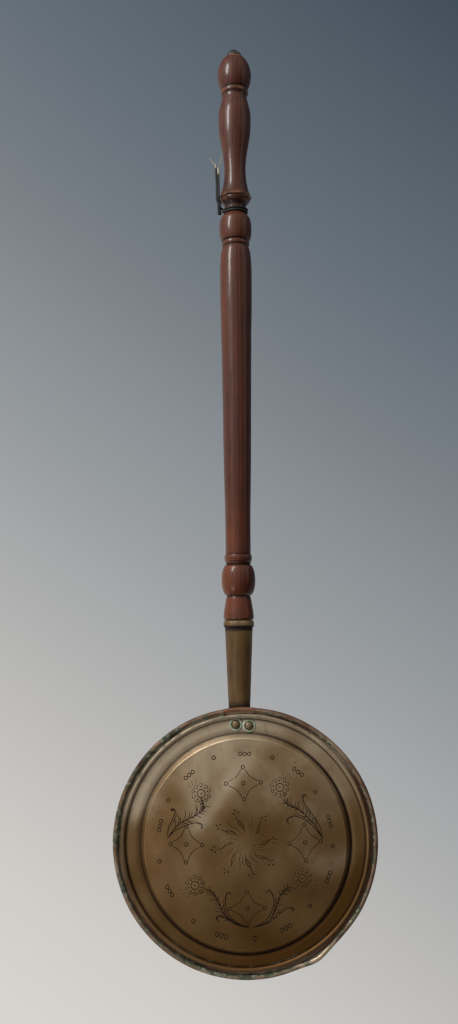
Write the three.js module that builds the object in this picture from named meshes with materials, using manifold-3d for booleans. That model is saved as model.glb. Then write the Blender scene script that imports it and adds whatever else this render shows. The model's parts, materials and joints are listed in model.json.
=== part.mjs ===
// A bed warming pan: a round brass pan for embers, with a raised and engraved lid on a strap hinge,
// a tapering brass socket and a long turned wooden handle that hangs from a wire tie.
//
// Millimetres. +Z runs up the handle, +X to the right and +Y away from the viewer, into the wall
// that the pan hangs on, so the lid faces -Y. The origin is on the handle's axis, in the neck that
// the wire tie holds.

import * as THREE from "three";
import { mergeVertices } from "three/addons/utils/BufferGeometryUtils.js";
import Module from "manifold-3d";

const wasm = await Module();
wasm.setup();

// ---------------------------------------------------------------- driving dimensions

const CLEARANCE = 0.3; // between two pieces that touch
const CURL_SLIT = 0.45; // between the lip of a rolled edge and the sheet that it is rolled from

// The pan. Its own frame has the origin at the middle of the mouth, on the front of the flange,
// +Y as the depth and +Z towards the hinge.
const PAN_RADIUS = 150; // over the rolled rim
const PAN_DEPTH = 72; // from the front of the flange to the back of the bottom
const PAN_SHEET = 1.0;
const FLANGE_WIDTH = 14; // from the mouth out over the rolled rim
const WALL_LEAN = THREE.MathUtils.degToRad(13.5);
const BOTTOM_CORNER = 20; // inside radius between wall and bottom
const RIM_WIRE_RADIUS = 1.5;
const PAN_SKEW = THREE.MathUtils.degToRad(2.1); // the pan was riveted on a little out of line

// The lid, which lies inside the rolled rim on the flange.
const LID_GAP = 3.1; // between its edge and the rolled rim
const LID_SHEET = 1.0;
const LID_WIRE_RADIUS = 1.2;
const LID_MARGIN = 21.3; // from its edge in to the foot of the step
const STEP_WIDTH = 8;
const STEP_HEIGHT = 6.5;
const DOME_HEIGHT = 6.2; // of the field above its own edge

// The hinge, a strap bent round the rim's wire and riveted under the lid.
const STRAP_WIDTH = 37;
const STRAP_SHEET = 1.0;
const STRAP_REACH = 7.6; // how far it goes on past the middle of its rivets
const STRAP_SIDE_GAP = 0.8; // to each end of the notch in the rim
const LID_RIVET_SPACING = 15;
const LID_RIVET_MIDDLE = 2.4; // the pair sits a little right of the strap's middle
const LID_RIVET_INSET = 11.3; // from the lid's edge
const LID_RIVET_DROP = 1.0; // the left one sits this much higher, the right one lower
const LID_RIVET = { shank: 2.0, head: 4.5, headHeight: 3.0, tail: 2.9, tailHeight: 1.2 };

// The bracket that carries the socket on the pan's wall.
const AXIS_DEPTH = 20; // the handle's axis behind the front of the flange
const BRACKET_SHEET = 2.0;
const BRACKET_EDGE = 7; // from the middles of its rivets out to the plate's edges
const BRACKET_CORNER = 8;
const BRACKET_STUB = 5.5; // from the pan's wall to the foot of the socket
const BRACKET_SPIGOT = 16; // inside the socket
const BRACKET_RIVET_STEP = 20; // between the two rivets of a side
const BRACKET_RIVET = { shank: 1.8, head: 4.0, headHeight: 2.6, tail: 3.0, tailHeight: 1.2 };

// The socket, a tapering brass tube with a bead round its mouth.
const SOCKET_LENGTH = 111.3;
const SOCKET_MOUTH_RADIUS = 16.6;
const SOCKET_FOOT_RADIUS = 12.2;
const SOCKET_SHEET = 1.2;
const SOCKET_BEAD_PROUD = 1.5; // of the mouth
const SOCKET_BEAD_HEIGHT = 8.2;
const NAIL_SHANK = 1.2;
const NAIL_HEAD = 2.8;
const NAIL_HEAD_HEIGHT = 1.5;
const NAIL_LENGTH = 12;
const NAIL_DROP = 30; // below the socket's mouth

// The turned handle.
const SHAFT_LENGTH = 374.3; // from the ring under the second ball to the lower collar
const TENON_LENGTH = 81;
const NECK_RADIUS = 12.8; // under the tie
const BUTTON = { radius: 9.4, top: 4.6, height: 9.4, tang: 3.0, tangLength: 24 };

// The wire tie round the neck.
const TIE_RADIUS = 1.3;
const TIE_PITCH = 3.05;
const TIE_LOOPS = 2; // from the knot round to the knot again
const TIE_MIDDLE = -4.0; // height of the winding's middle
const TIE_FACING = THREE.MathUtils.degToRad(10); // how far the knot is turned from -X to the front
const KNOT_RADIUS = 2.7;
const KNOT_HEIGHT = 12;
const KNOT_GAP = 1.3; // between the knot and the turns that pass behind it
const TIP_RADIUS = 0.9;
const STRAND_RADIUS = 0.35;

// Facets.
const PAN_SEGMENTS = 48;
const TURNED_SEGMENTS = 16;
const SMALL_SEGMENTS = 10;
const WIRE_SIDES = 6;
const CURL_STEPS = 7;

// ---------------------------------------------------------------- derived sizes

const RIM_CURL = RIM_WIRE_RADIUS + CLEARANCE; // inside radius of the rolled rim
const RIM_RADIUS = PAN_RADIUS - RIM_CURL - PAN_SHEET; // of the wire's centre line
const RIM_WIRE_DEPTH = -RIM_CURL;
const MOUTH_RADIUS = PAN_RADIUS - FLANGE_WIDTH; // where the wall turns into the flange
const LID_RADIUS = RIM_RADIUS - RIM_CURL - PAN_SHEET - LID_GAP; // over its wired edge
const LID_CURL = LID_WIRE_RADIUS + CLEARANCE;
const LID_EDGE_RADIUS = LID_RADIUS - LID_CURL - LID_SHEET;
const LID_FRONT = -CLEARANCE - LID_SHEET; // depth of the front of the lid's margin
const LID_WIRE_DEPTH = LID_FRONT - LID_CURL;
const FIELD_RADIUS = LID_RADIUS - LID_MARGIN - STEP_WIDTH; // where the field turns down
const LID_RIVET_HEIGHT = LID_RADIUS - LID_RIVET_INSET; // from the middle of the lid

// The rim and its wire run straight across the hinge, over the two facets next to the top.
const NOTCH_HALF_ANGLE = (2 * Math.PI) / PAN_SEGMENTS;
const HINGE_HEIGHT = RIM_RADIUS * Math.cos(NOTCH_HALF_ANGLE); // above the pan's middle
const FACET = Math.cos(Math.PI / PAN_SEGMENTS); // a facet's middle over its corners' radius
const STRAP_FRONT = RIM_WIRE_DEPTH + RIM_CURL;
const STRAP_END = LID_RIVET_HEIGHT - STRAP_REACH;
const NOTCH_FLOOR = MOUTH_RADIUS - 3; // the notch bites a little into the top of the wall

// The outside of the pan's wall at a depth.
const wallRadius = (depth) =>
  MOUTH_RADIUS + PAN_SHEET / Math.cos(WALL_LEAN) - Math.tan(WALL_LEAN) * depth;

// The bracket's rivets stand in the middle of a facet on either side, and its plate reaches past them.
const BRACKET_RIVET_ANGLE = (3 * Math.PI) / PAN_SEGMENTS;
const BRACKET_WIDTH =
  2 * (wallRadius(AXIS_DEPTH) * Math.sin(BRACKET_RIVET_ANGLE) + BRACKET_EDGE);
const BRACKET_HEIGHT = BRACKET_RIVET_STEP + 2 * BRACKET_EDGE;

// Heights along the handle, from the tie's neck down.
const SHAFT_TOP = -50.8;
const SHAFT_END = SHAFT_TOP - SHAFT_LENGTH;
const WOOD_END = SHAFT_END - 77.3; // the shoulder that sits on the socket's mouth
const SOCKET_MOUTH = WOOD_END - CLEARANCE;
const SOCKET_FOOT = SOCKET_MOUTH - SOCKET_LENGTH;
const STUB_TOP = SOCKET_FOOT - CLEARANCE;
const WALL_TOP = STUB_TOP - BRACKET_STUB;
const BALL_TOP = 193.4; // the flat that the button stands on

// The pan's middle: the handle's axis meets its wall at WALL_TOP and its hinge at X = 0.
const PAN_MIDDLE = new THREE.Vector3(
  HINGE_HEIGHT * Math.sin(PAN_SKEW),
  -AXIS_DEPTH,
  WALL_TOP - wallRadius(AXIS_DEPTH) * Math.cos(PAN_SKEW),
);

// ---------------------------------------------------------------- outlines

const point = (r, h) => new THREE.Vector2(r, h);

// Points on a circle in an outline, the angle counted from +r towards +h.
function arc(r, h, radius, from, to, steps) {
  const points = [];
  for (let i = 0; i <= steps; i++) {
    const a = from + ((to - from) * i) / steps;
    points.push(point(r + radius * Math.cos(a), h + radius * Math.sin(a)));
  }
  return points;
}

// A turned bead from one height down to another, standing out to a radius.
function bead(top, bottom, foot, radius, steps = 8) {
  const middle = (top + bottom) / 2;
  const half = (top - bottom) / 2;
  const points = [];
  for (let i = 0; i <= steps; i++) {
    const a = (Math.PI * i) / steps;
    points.push(point(foot + (radius - foot) * Math.sin(a), middle + half * Math.cos(a)));
  }
  return points;
}

// A smooth stretch through a few radii and heights.
function flow(steps, ...pairs) {
  return new THREE.SplineCurve(pairs.map(([r, h]) => point(r, h))).getPoints(steps);
}

// A sheet's outline: a line and the same line moved square to itself by the sheet's thickness.
function thicken(line, thickness) {
  const normal = (a, b) => point(b.y - a.y, a.x - b.x).normalize();
  const back = line.map((p, i) => {
    const before = i > 0 ? normal(line[i - 1], p) : null;
    const after = i < line.length - 1 ? normal(p, line[i + 1]) : null;
    const n = before && after ? before.clone().add(after).normalize() : before || after;
    const stretch = before && after ? 1 / n.dot(after) : 1;
    return p.clone().addScaledVector(n, -thickness * stretch);
  });
  if (line[0].x === 0) back[0].x = 0;
  return [...line, ...back.reverse()];
}

// The inside of an edge rolled forward round a wire, from the sheet's front to the lip. The lip
// stops short of the sheet by CURL_SLIT.
function curl(radius, depth, inside, sheet) {
  const lip = Math.asin((inside - CURL_SLIT) / (inside + sheet));
  return arc(radius, depth, inside, Math.PI / 2, lip - Math.PI, CURL_STEPS);
}

// ---------------------------------------------------------------- geometries

// A geometry with shared vertices and its faces turned outwards.
function closed(geometry) {
  const g = geometry.index ? geometry.toNonIndexed() : geometry.clone();
  g.deleteAttribute("normal");
  g.deleteAttribute("uv");
  const merged = mergeVertices(g, 1e-4);
  const p = merged.attributes.position;
  const index = Array.from(merged.index.array);
  const kept = [];
  let volume = 0;
  const [a, b, c] = [new THREE.Vector3(), new THREE.Vector3(), new THREE.Vector3()];
  for (let i = 0; i < index.length; i += 3) {
    const [i0, i1, i2] = index.slice(i, i + 3);
    if (i0 === i1 || i1 === i2 || i2 === i0) continue;
    kept.push([i0, i1, i2]);
    a.fromBufferAttribute(p, i0);
    b.fromBufferAttribute(p, i1);
    c.fromBufferAttribute(p, i2);
    volume += a.dot(b.cross(c));
  }
  merged.setIndex(kept.flatMap(([i, j, k]) => (volume < 0 ? [i, k, j] : [i, j, k])));
  return merged;
}

// A body turned about Y, as the pan and lid are. The outline's height is the depth.
const turnedAboutY = (outline, segments = PAN_SEGMENTS) =>
  closed(new THREE.LatheGeometry([...outline, outline[0]], segments));

// A body turned about Z, as the handle is.
const turnedAboutZ = (outline, segments = TURNED_SEGMENTS) =>
  closed(new THREE.LatheGeometry([...outline, outline[0]], segments).rotateX(Math.PI / 2));

// A round wire along a curve.
function wire(curve, radius, steps, sides = WIRE_SIDES) {
  const section = new THREE.Shape(
    arc(0, 0, radius, 0, 2 * Math.PI, sides).slice(0, sides),
  );
  return closed(
    new THREE.ExtrudeGeometry(section, { steps, bevelEnabled: false, extrudePath: curve }),
  );
}

// A ring of wire that lies in a rolled edge.
const ringWire = (radius, depth, wireRadius) =>
  turnedAboutY(arc(radius, depth, wireRadius, 0, 2 * Math.PI, WIRE_SIDES).slice(0, WIRE_SIDES));

function cylinderAlongZ(radius, bottom, top, segments = TURNED_SEGMENTS) {
  const outline = [point(0, bottom), point(radius, bottom), point(radius, top), point(0, top)];
  return turnedAboutZ(outline, segments);
}

// A rivet about Z: its head above height 0, its shank down through the grip, and its clenched tail.
function rivet(size, grip) {
  const tailTop = -grip - 2 * CLEARANCE;
  const dome = [];
  for (let i = 0; i <= 5; i++) {
    const a = (Math.PI / 2) * (i / 5);
    dome.push(point(size.head * Math.cos(a), size.headHeight * Math.sin(a)));
  }
  return turnedAboutZ(
    [
      point(0, tailTop - size.tailHeight),
      point(size.tail * 0.8, tailTop - size.tailHeight),
      point(size.tail, tailTop),
      point(size.shank, tailTop),
      point(size.shank, 0),
      ...dome,
    ],
    SMALL_SEGMENTS,
  );
}

// Cutting and joining.
function solid(geometry) {
  return new wasm.Manifold(
    new wasm.Mesh({
      numProp: 3,
      vertProperties: new Float32Array(geometry.attributes.position.array),
      triVerts: new Uint32Array(geometry.index.array),
    }),
  );
}

function geometryOf(manifold) {
  const m = manifold.getMesh();
  return new THREE.BufferGeometry()
    .setAttribute("position", new THREE.BufferAttribute(m.vertProperties, 3))
    .setIndex(new THREE.BufferAttribute(m.triVerts, 1));
}

const cut = (geometry, ...cutters) =>
  geometryOf(cutters.reduce((s, c) => s.subtract(solid(c)), solid(geometry)));

// ---------------------------------------------------------------- finishes

const finish = (color, metalness, roughness) =>
  new THREE.MeshStandardMaterial({ color, metalness, roughness });
const finishes = {
  pan: () => finish(0x7a6450, 0.9, 0.45),
  lid: () => finish(0x8a7456, 0.9, 0.42),
  socket: () => finish(0x55432a, 0.85, 0.5),
  iron: () => finish(0x3b3835, 0.7, 0.7),
  wood: () => finish(0x54291f, 0.0, 0.35),
  button: () => finish(0x3c3c3c, 0.5, 0.5),
  plastic: () => finish(0x1a1a1b, 0.0, 0.45),
  strand: () => finish(0xcdbb96, 0.0, 0.7),
};

const part = new THREE.Group();
const pan = new THREE.Group(); // the pan's own frame
pan.position.copy(PAN_MIDDLE);
pan.rotation.y = -PAN_SKEW;
part.add(pan);
part.updateMatrixWorld(true);
const intoPan = pan.matrixWorld.clone().invert();

function add(group, name, geometry, material) {
  const mesh = new THREE.Mesh(geometry, material());
  mesh.name = name;
  group.add(mesh);
  return mesh;
}

// ---------------------------------------------------------------- pan

function panOutline() {
  const inside = PAN_DEPTH - PAN_SHEET;
  const cornerEnd = inside - BOTTOM_CORNER * (1 - Math.sin(WALL_LEAN));
  const cornerRadius =
    MOUTH_RADIUS - Math.tan(WALL_LEAN) * cornerEnd - BOTTOM_CORNER * Math.cos(WALL_LEAN);
  return thicken(
    [
      point(0, inside),
      ...arc(cornerRadius, inside - BOTTOM_CORNER, BOTTOM_CORNER, Math.PI / 2, WALL_LEAN, 5),
      point(MOUTH_RADIUS, 0),
      ...curl(RIM_RADIUS, RIM_WIRE_DEPTH, RIM_CURL, PAN_SHEET),
    ],
    PAN_SHEET,
  );
}

// Where the four bracket rivets go through the wall.
const bracketRivets = [-1, 1].flatMap((side) =>
  [-1, 1].map((row) => ({
    angle: side * BRACKET_RIVET_ANGLE,
    depth: AXIS_DEPTH + (row * BRACKET_RIVET_STEP) / 2,
  })),
);

// Puts something made about Z on the wall, its +Z square to the wall and its zero at a height
// above the wall's outside.
function ontoWall(geometry, { angle, depth }, height) {
  const radius = wallRadius(depth) * FACET;
  return geometry
    .clone()
    .translate(0, 0, height)
    .rotateX(-WALL_LEAN)
    .translate(0, depth, radius)
    .rotateY(angle);
}

const rivetHole = (radius) => cylinderAlongZ(radius + CLEARANCE, -12, 12, SMALL_SEGMENTS);

// Brings the top of the rolled rim, or of its wire, down into line across the hinge.
function straightened(geometry) {
  const p = geometry.attributes.position;
  for (let i = 0; i < p.count; i++) {
    const onTop = Math.abs(p.getX(i)) < 1e-3 && p.getZ(i) > (MOUTH_RADIUS + PAN_RADIUS) / 2;
    if (onTop) p.setZ(i, p.getZ(i) - RIM_RADIUS + HINGE_HEIGHT);
  }
  return geometry;
}

function addPan() {
  const halfNotch = STRAP_WIDTH / 2 + STRAP_SIDE_GAP;
  const front = -PAN_DEPTH;
  const back = STRAP_FRONT + STRAP_SHEET + CLEARANCE + 0.1;
  const notch = closed(new THREE.BoxGeometry(2 * halfNotch, back - front, PAN_RADIUS));
  notch.translate(0, (front + back) / 2, NOTCH_FLOOR + PAN_RADIUS / 2);
  const holes = bracketRivets.map((r) => ontoWall(rivetHole(BRACKET_RIVET.shank), r, 0));
  const body = straightened(turnedAboutY(panOutline()));
  add(pan, "pan_body", cut(body, notch, ...holes), finishes.pan);
  const rim = straightened(ringWire(RIM_RADIUS, RIM_WIRE_DEPTH, RIM_WIRE_RADIUS));
  add(pan, "pan_rim_wire", rim, finishes.iron);
}

// ---------------------------------------------------------------- lid and hinge

function lidOutline() {
  const field = LID_FRONT - STEP_HEIGHT;
  const line = [];
  const domeSteps = 4;
  for (let i = 0; i <= domeSteps; i++) {
    const s = i / domeSteps;
    line.push(point(FIELD_RADIUS * s, field - DOME_HEIGHT * (1 - s * s)));
  }
  const stepSteps = 4;
  for (let i = 1; i <= stepSteps; i++) {
    const s = i / stepSteps;
    const fall = (1 - Math.cos(Math.PI * s)) / 2;
    line.push(point(FIELD_RADIUS + STEP_WIDTH * s, field + STEP_HEIGHT * fall));
  }
  line.push(...curl(LID_EDGE_RADIUS, LID_WIRE_DEPTH, LID_CURL, LID_SHEET));
  return thicken(line, LID_SHEET);
}

function addLid() {
  const places = [-1, 1].map((side) => ({
    x: LID_RIVET_MIDDLE + (side * LID_RIVET_SPACING) / 2,
    z: LID_RIVET_HEIGHT - side * LID_RIVET_DROP,
  }));
  // A rivet made about Z has its head turned to the front of the lid.
  const ontoLid = (geometry, { x, z }) =>
    geometry.clone().rotateX(Math.PI / 2).translate(x, LID_FRONT - CLEARANCE, z);
  const holes = places.map((place) => ontoLid(rivetHole(LID_RIVET.shank), place));
  add(pan, "lid", cut(turnedAboutY(lidOutline()), ...holes), finishes.lid);
  add(
    pan,
    "lid_edge_wire",
    ringWire(LID_EDGE_RADIUS, LID_WIRE_DEPTH, LID_WIRE_RADIUS),
    finishes.iron,
  );

  // The strap lies flat under the lid's margin, passes through the notch and bends round the wire.
  const line = [
    point(STRAP_END, STRAP_FRONT),
    ...curl(HINGE_HEIGHT, RIM_WIRE_DEPTH, RIM_CURL, STRAP_SHEET),
  ];
  const strap = new THREE.ExtrudeGeometry(new THREE.Shape(thicken(line, STRAP_SHEET)), {
    depth: STRAP_WIDTH,
    bevelEnabled: false,
  });
  // The outline's r becomes Z, its height stays the depth, and the strap's width lies along X.
  strap.translate(0, 0, -STRAP_WIDTH / 2).rotateY(-Math.PI / 2);
  add(pan, "hinge_strap", cut(closed(strap), ...holes), finishes.pan);

  const grip = LID_SHEET + CLEARANCE + STRAP_SHEET;
  places.forEach((place, i) => {
    const name = `lid_rivet_${i === 0 ? "left" : "right"}`;
    add(pan, name, ontoLid(rivet(LID_RIVET, grip), place), finishes.lid);
  });
}

// ---------------------------------------------------------------- socket and its bracket

const SOCKET_TAPER = (SOCKET_MOUTH_RADIUS - SOCKET_FOOT_RADIUS) / SOCKET_LENGTH;
const socketRadius = (z) => SOCKET_FOOT_RADIUS + (z - SOCKET_FOOT) * SOCKET_TAPER;
const socketInside = (z) => socketRadius(z) - SOCKET_SHEET;

function addBracket() {
  // A solid that fills the pan's wall out to a distance from its outside.
  const wallOut = (distance) => {
    const [top, bottom] = [-PAN_DEPTH, PAN_DEPTH];
    const r = (depth) => wallRadius(depth) + distance / Math.cos(WALL_LEAN);
    return turnedAboutY([
      point(0, top),
      point(r(top), top),
      point(r(bottom), bottom),
      point(0, bottom),
    ]);
  };
  const [w, h] = [BRACKET_WIDTH / 2 - BRACKET_CORNER, BRACKET_HEIGHT / 2 - BRACKET_CORNER];
  const quarter = Math.PI / 2;
  const outline = [[w, h], [-w, h], [-w, -h], [w, -h]].flatMap(([x, y], i) =>
    arc(x, y + AXIS_DEPTH, BRACKET_CORNER, i * quarter, (i + 1) * quarter, 3),
  );
  const prism = closed(
    new THREE.ExtrudeGeometry(new THREE.Shape(outline), {
      depth: PAN_RADIUS,
      bevelEnabled: false,
    }),
  );
  const stub = cylinderAlongZ(SOCKET_FOOT_RADIUS, STUB_TOP - 3 * BRACKET_STUB, STUB_TOP);
  const spigotTop = STUB_TOP + BRACKET_SPIGOT;
  const spigot = turnedAboutZ([
    point(0, STUB_TOP - BRACKET_STUB),
    point(socketInside(SOCKET_FOOT) - CLEARANCE, STUB_TOP - BRACKET_STUB),
    point(socketInside(SOCKET_FOOT) - CLEARANCE, STUB_TOP),
    point(socketInside(spigotTop) - CLEARANCE, spigotTop),
    point(0, spigotTop),
  ]);
  const plate = solid(wallOut(CLEARANCE + BRACKET_SHEET)).intersect(solid(prism));
  const joined = plate
    .add(solid(stub.applyMatrix4(intoPan)))
    .add(solid(spigot.applyMatrix4(intoPan)))
    .subtract(solid(wallOut(CLEARANCE)));
  const holes = bracketRivets.map((r) => ontoWall(rivetHole(BRACKET_RIVET.shank), r, 0));
  add(pan, "socket_bracket", cut(geometryOf(joined), ...holes), finishes.socket);

  const grip = BRACKET_SHEET + CLEARANCE + PAN_SHEET;
  bracketRivets.forEach((place, i) => {
    const onTop = 2 * CLEARANCE + BRACKET_SHEET;
    const piece = ontoWall(rivet(BRACKET_RIVET, grip), place, onTop);
    add(pan, `bracket_rivet_${i + 1}`, piece, finishes.socket);
  });
}

// The nail goes into the tenon from the back, a facet's middle facing it.
const NAIL_HEIGHT = SOCKET_MOUTH - NAIL_DROP;
const NAIL_SEAT = socketRadius(NAIL_HEIGHT) + CLEARANCE;
const alongY = (geometry) => geometry.clone().rotateX(-Math.PI / 2).translate(0, 0, NAIL_HEIGHT);
const nailHole = () => {
  const depth = NAIL_SEAT - NAIL_LENGTH - CLEARANCE;
  return alongY(cylinderAlongZ(NAIL_SHANK + CLEARANCE, depth, NAIL_SEAT + 1, SMALL_SEGMENTS));
};

function addSocket() {
  const beadTop = SOCKET_MOUTH - CLEARANCE;
  const beadFoot = socketRadius(beadTop - SOCKET_BEAD_HEIGHT);
  const beadRadius = SOCKET_MOUTH_RADIUS + SOCKET_BEAD_PROUD;
  const tube = turnedAboutZ([
    point(SOCKET_FOOT_RADIUS, SOCKET_FOOT),
    ...bead(beadTop, beadTop - SOCKET_BEAD_HEIGHT, beadFoot, beadRadius, 6).reverse(),
    point(socketInside(SOCKET_MOUTH) + SOCKET_SHEET / 2, SOCKET_MOUTH),
    point(socketInside(SOCKET_MOUTH), SOCKET_MOUTH),
    point(socketInside(SOCKET_FOOT), SOCKET_FOOT),
  ]);
  add(part, "handle_socket", cut(tube, nailHole()), finishes.socket);

  const head = [];
  for (let i = 0; i <= 4; i++) {
    const a = (Math.PI / 2) * (i / 4);
    head.push(point(NAIL_HEAD * Math.cos(a), NAIL_SEAT + NAIL_HEAD_HEIGHT * Math.sin(a)));
  }
  const nail = turnedAboutZ(
    [
      point(0, NAIL_SEAT - NAIL_LENGTH),
      point(NAIL_SHANK, NAIL_SEAT - NAIL_LENGTH + 3 * NAIL_SHANK),
      point(NAIL_SHANK, NAIL_SEAT),
      ...head,
    ],
    SMALL_SEGMENTS,
  );
  add(part, "socket_nail", alongY(nail), finishes.iron);
}

// ---------------------------------------------------------------- handle

// The turning above the tie, from the ball's flat top down.
function upperTurning() {
  const ball = { middle: 169.3, radius: 20.8, height: 27.9 };
  const from = Math.asin((BALL_TOP - ball.middle) / ball.height);
  const to = Math.asin((153.2 - ball.middle) / ball.height);
  const steps = 9;
  const crown = [];
  for (let i = 0; i <= steps; i++) {
    const a = from + ((to - from) * i) / steps;
    crown.push(point(ball.radius * Math.cos(a), ball.middle + ball.height * Math.sin(a)));
  }
  return [
    ...crown,
    point(16.2, 151.2),
    ...bead(150.4, 144.3, 16.0, 16.9, 4),
    ...flow(
      12,
      [15.5, 138.8],
      [16.8, 133.5],
      [19.1, 124.1],
      [20.0, 115.2],
      [19.4, 97.5],
      [17.1, 81.7],
      [14.6, 67],
      [13.1, 49.3],
      [14.1, 32.5],
      [16.9, 19.5],
      [19.9, 12.4],
    ),
    point(19.8, 11.4),
    point(18.2, 9.8),
    point(17.0, 7.9),
    point(14.9, 5.2),
    point(13.6, 2.6),
    point(NECK_RADIUS, 0.5),
  ];
}

// Below the tie: the second ball, its ring and the shaft.
function middleTurning() {
  const along = (share) => SHAFT_TOP - SHAFT_LENGTH * share;
  return [
    point(NECK_RADIUS, -8.2),
    point(15.0, -10.3),
    ...bead(-12.8, -42.4, 16.3, 19.6),
    ...bead(-43.4, -49.3, 15.7, 16.4, 4),
    ...flow(
      14,
      [16.0, SHAFT_TOP],
      [18.0, along(0.02)],
      [19.2, along(0.07)],
      [19.2, along(0.175)],
      [18.1, along(0.31)],
      [17.2, along(0.5)],
      [16.4, along(0.7)],
      [15.0, along(0.89)],
      [14.8, SHAFT_END],
    ),
  ];
}

// The collar, third ball and vase at the shaft's end, then the tenon in the socket.
function lowerTurning() {
  const down = (distance) => SHAFT_END - distance;
  const tenonEnd = WOOD_END - TENON_LENGTH;
  const mouth = SOCKET_MOUTH_RADIUS; // the vase's foot stands a little proud of it
  return [
    ...bead(down(0.6), down(8.3), 15.2, 16.1, 4),
    point(14.9, down(10.9)),
    ...bead(down(12.5), down(48.7), 13.6, 19.9, 10),
    ...flow(
      8,
      [13.9, down(50.1)],
      [mouth - 1.4, down(54.5)],
      [mouth - 0.4, down(60.4)],
      [mouth + 0.7, down(68.3)],
      [mouth + 1.1, down(73.3)],
    ),
    point(mouth + 0.7, down(76.3)),
    point(mouth - 0.6, WOOD_END),
    point(socketInside(WOOD_END) - CLEARANCE, WOOD_END),
    point(socketInside(tenonEnd) - CLEARANCE, tenonEnd),
    point(0, tenonEnd),
  ];
}

function addHandle() {
  const body = turnedAboutZ([
    point(0, BALL_TOP),
    ...upperTurning(),
    ...middleTurning(),
    ...lowerTurning(),
  ]);
  const tangHole = cylinderAlongZ(
    BUTTON.tang + CLEARANCE,
    BALL_TOP - BUTTON.tangLength - CLEARANCE,
    BALL_TOP + 1,
    SMALL_SEGMENTS,
  );
  add(part, "handle", cut(body, tangHole, nailHole()), finishes.wood);

  const seat = BALL_TOP + CLEARANCE;
  const button = turnedAboutZ([
    point(0, BALL_TOP - BUTTON.tangLength),
    point(BUTTON.tang, BALL_TOP - BUTTON.tangLength + BUTTON.tang),
    point(BUTTON.tang, seat),
    point(BUTTON.radius, seat),
    point(BUTTON.radius, seat + BUTTON.height * 0.2),
    point(BUTTON.radius * 0.85, seat + BUTTON.height * 0.5),
    point(BUTTON.top, seat + BUTTON.height * 0.85),
    point(BUTTON.top * 0.6, seat + BUTTON.height),
    point(0, seat + BUTTON.height),
  ]);
  add(part, "handle_button", button, finishes.button);
}

// ---------------------------------------------------------------- wire tie

const WINDING_RADIUS = NECK_RADIUS + CLEARANCE + TIE_RADIUS;
const KNOT_OUT = WINDING_RADIUS + TIE_RADIUS + KNOT_GAP + KNOT_RADIUS; // from the axis

// The turns lie on the neck, and each end leaves it along its tangent and runs to the knot.
class Winding extends THREE.Curve {
  constructor() {
    super();
    // Each end stops short of the knot by this angle, where its tangent points at the knot.
    const short = Math.acos(WINDING_RADIUS / KNOT_OUT);
    this.angle = 2 * (TIE_LOOPS * Math.PI - short);
    const end = WINDING_RADIUS * Math.tan(short) - KNOT_RADIUS - CLEARANCE;
    this.length = this.angle * WINDING_RADIUS + 2 * end;
  }

  getPoint(t, target = new THREE.Vector3()) {
    const along = (t - 0.5) * this.length;
    const turned = THREE.MathUtils.clamp(along / WINDING_RADIUS, -this.angle / 2, this.angle / 2);
    const straight = along - turned * WINDING_RADIUS;
    const a = turned + TIE_FACING + (TIE_LOOPS - 1) * Math.PI;
    return target.set(
      WINDING_RADIUS * Math.cos(a) - straight * Math.sin(a),
      WINDING_RADIUS * Math.sin(a) + straight * Math.cos(a),
      TIE_MIDDLE + (TIE_PITCH * along) / (2 * Math.PI * WINDING_RADIUS),
    );
  }
}

// The least gap between the winding's tube and itself, a quarter turn or more further along.
function windingGap(curve) {
  const perTurn = 120;
  const turns = curve.length / (2 * Math.PI * WINDING_RADIUS);
  const points = curve.getSpacedPoints(Math.round(turns * perTurn));
  let least = Infinity;
  for (let i = 0; i < points.length; i++) {
    for (let j = i + perTurn / 4; j < points.length; j++) {
      least = Math.min(least, points[i].distanceTo(points[j]));
    }
  }
  return least - 2 * TIE_RADIUS;
}

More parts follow.
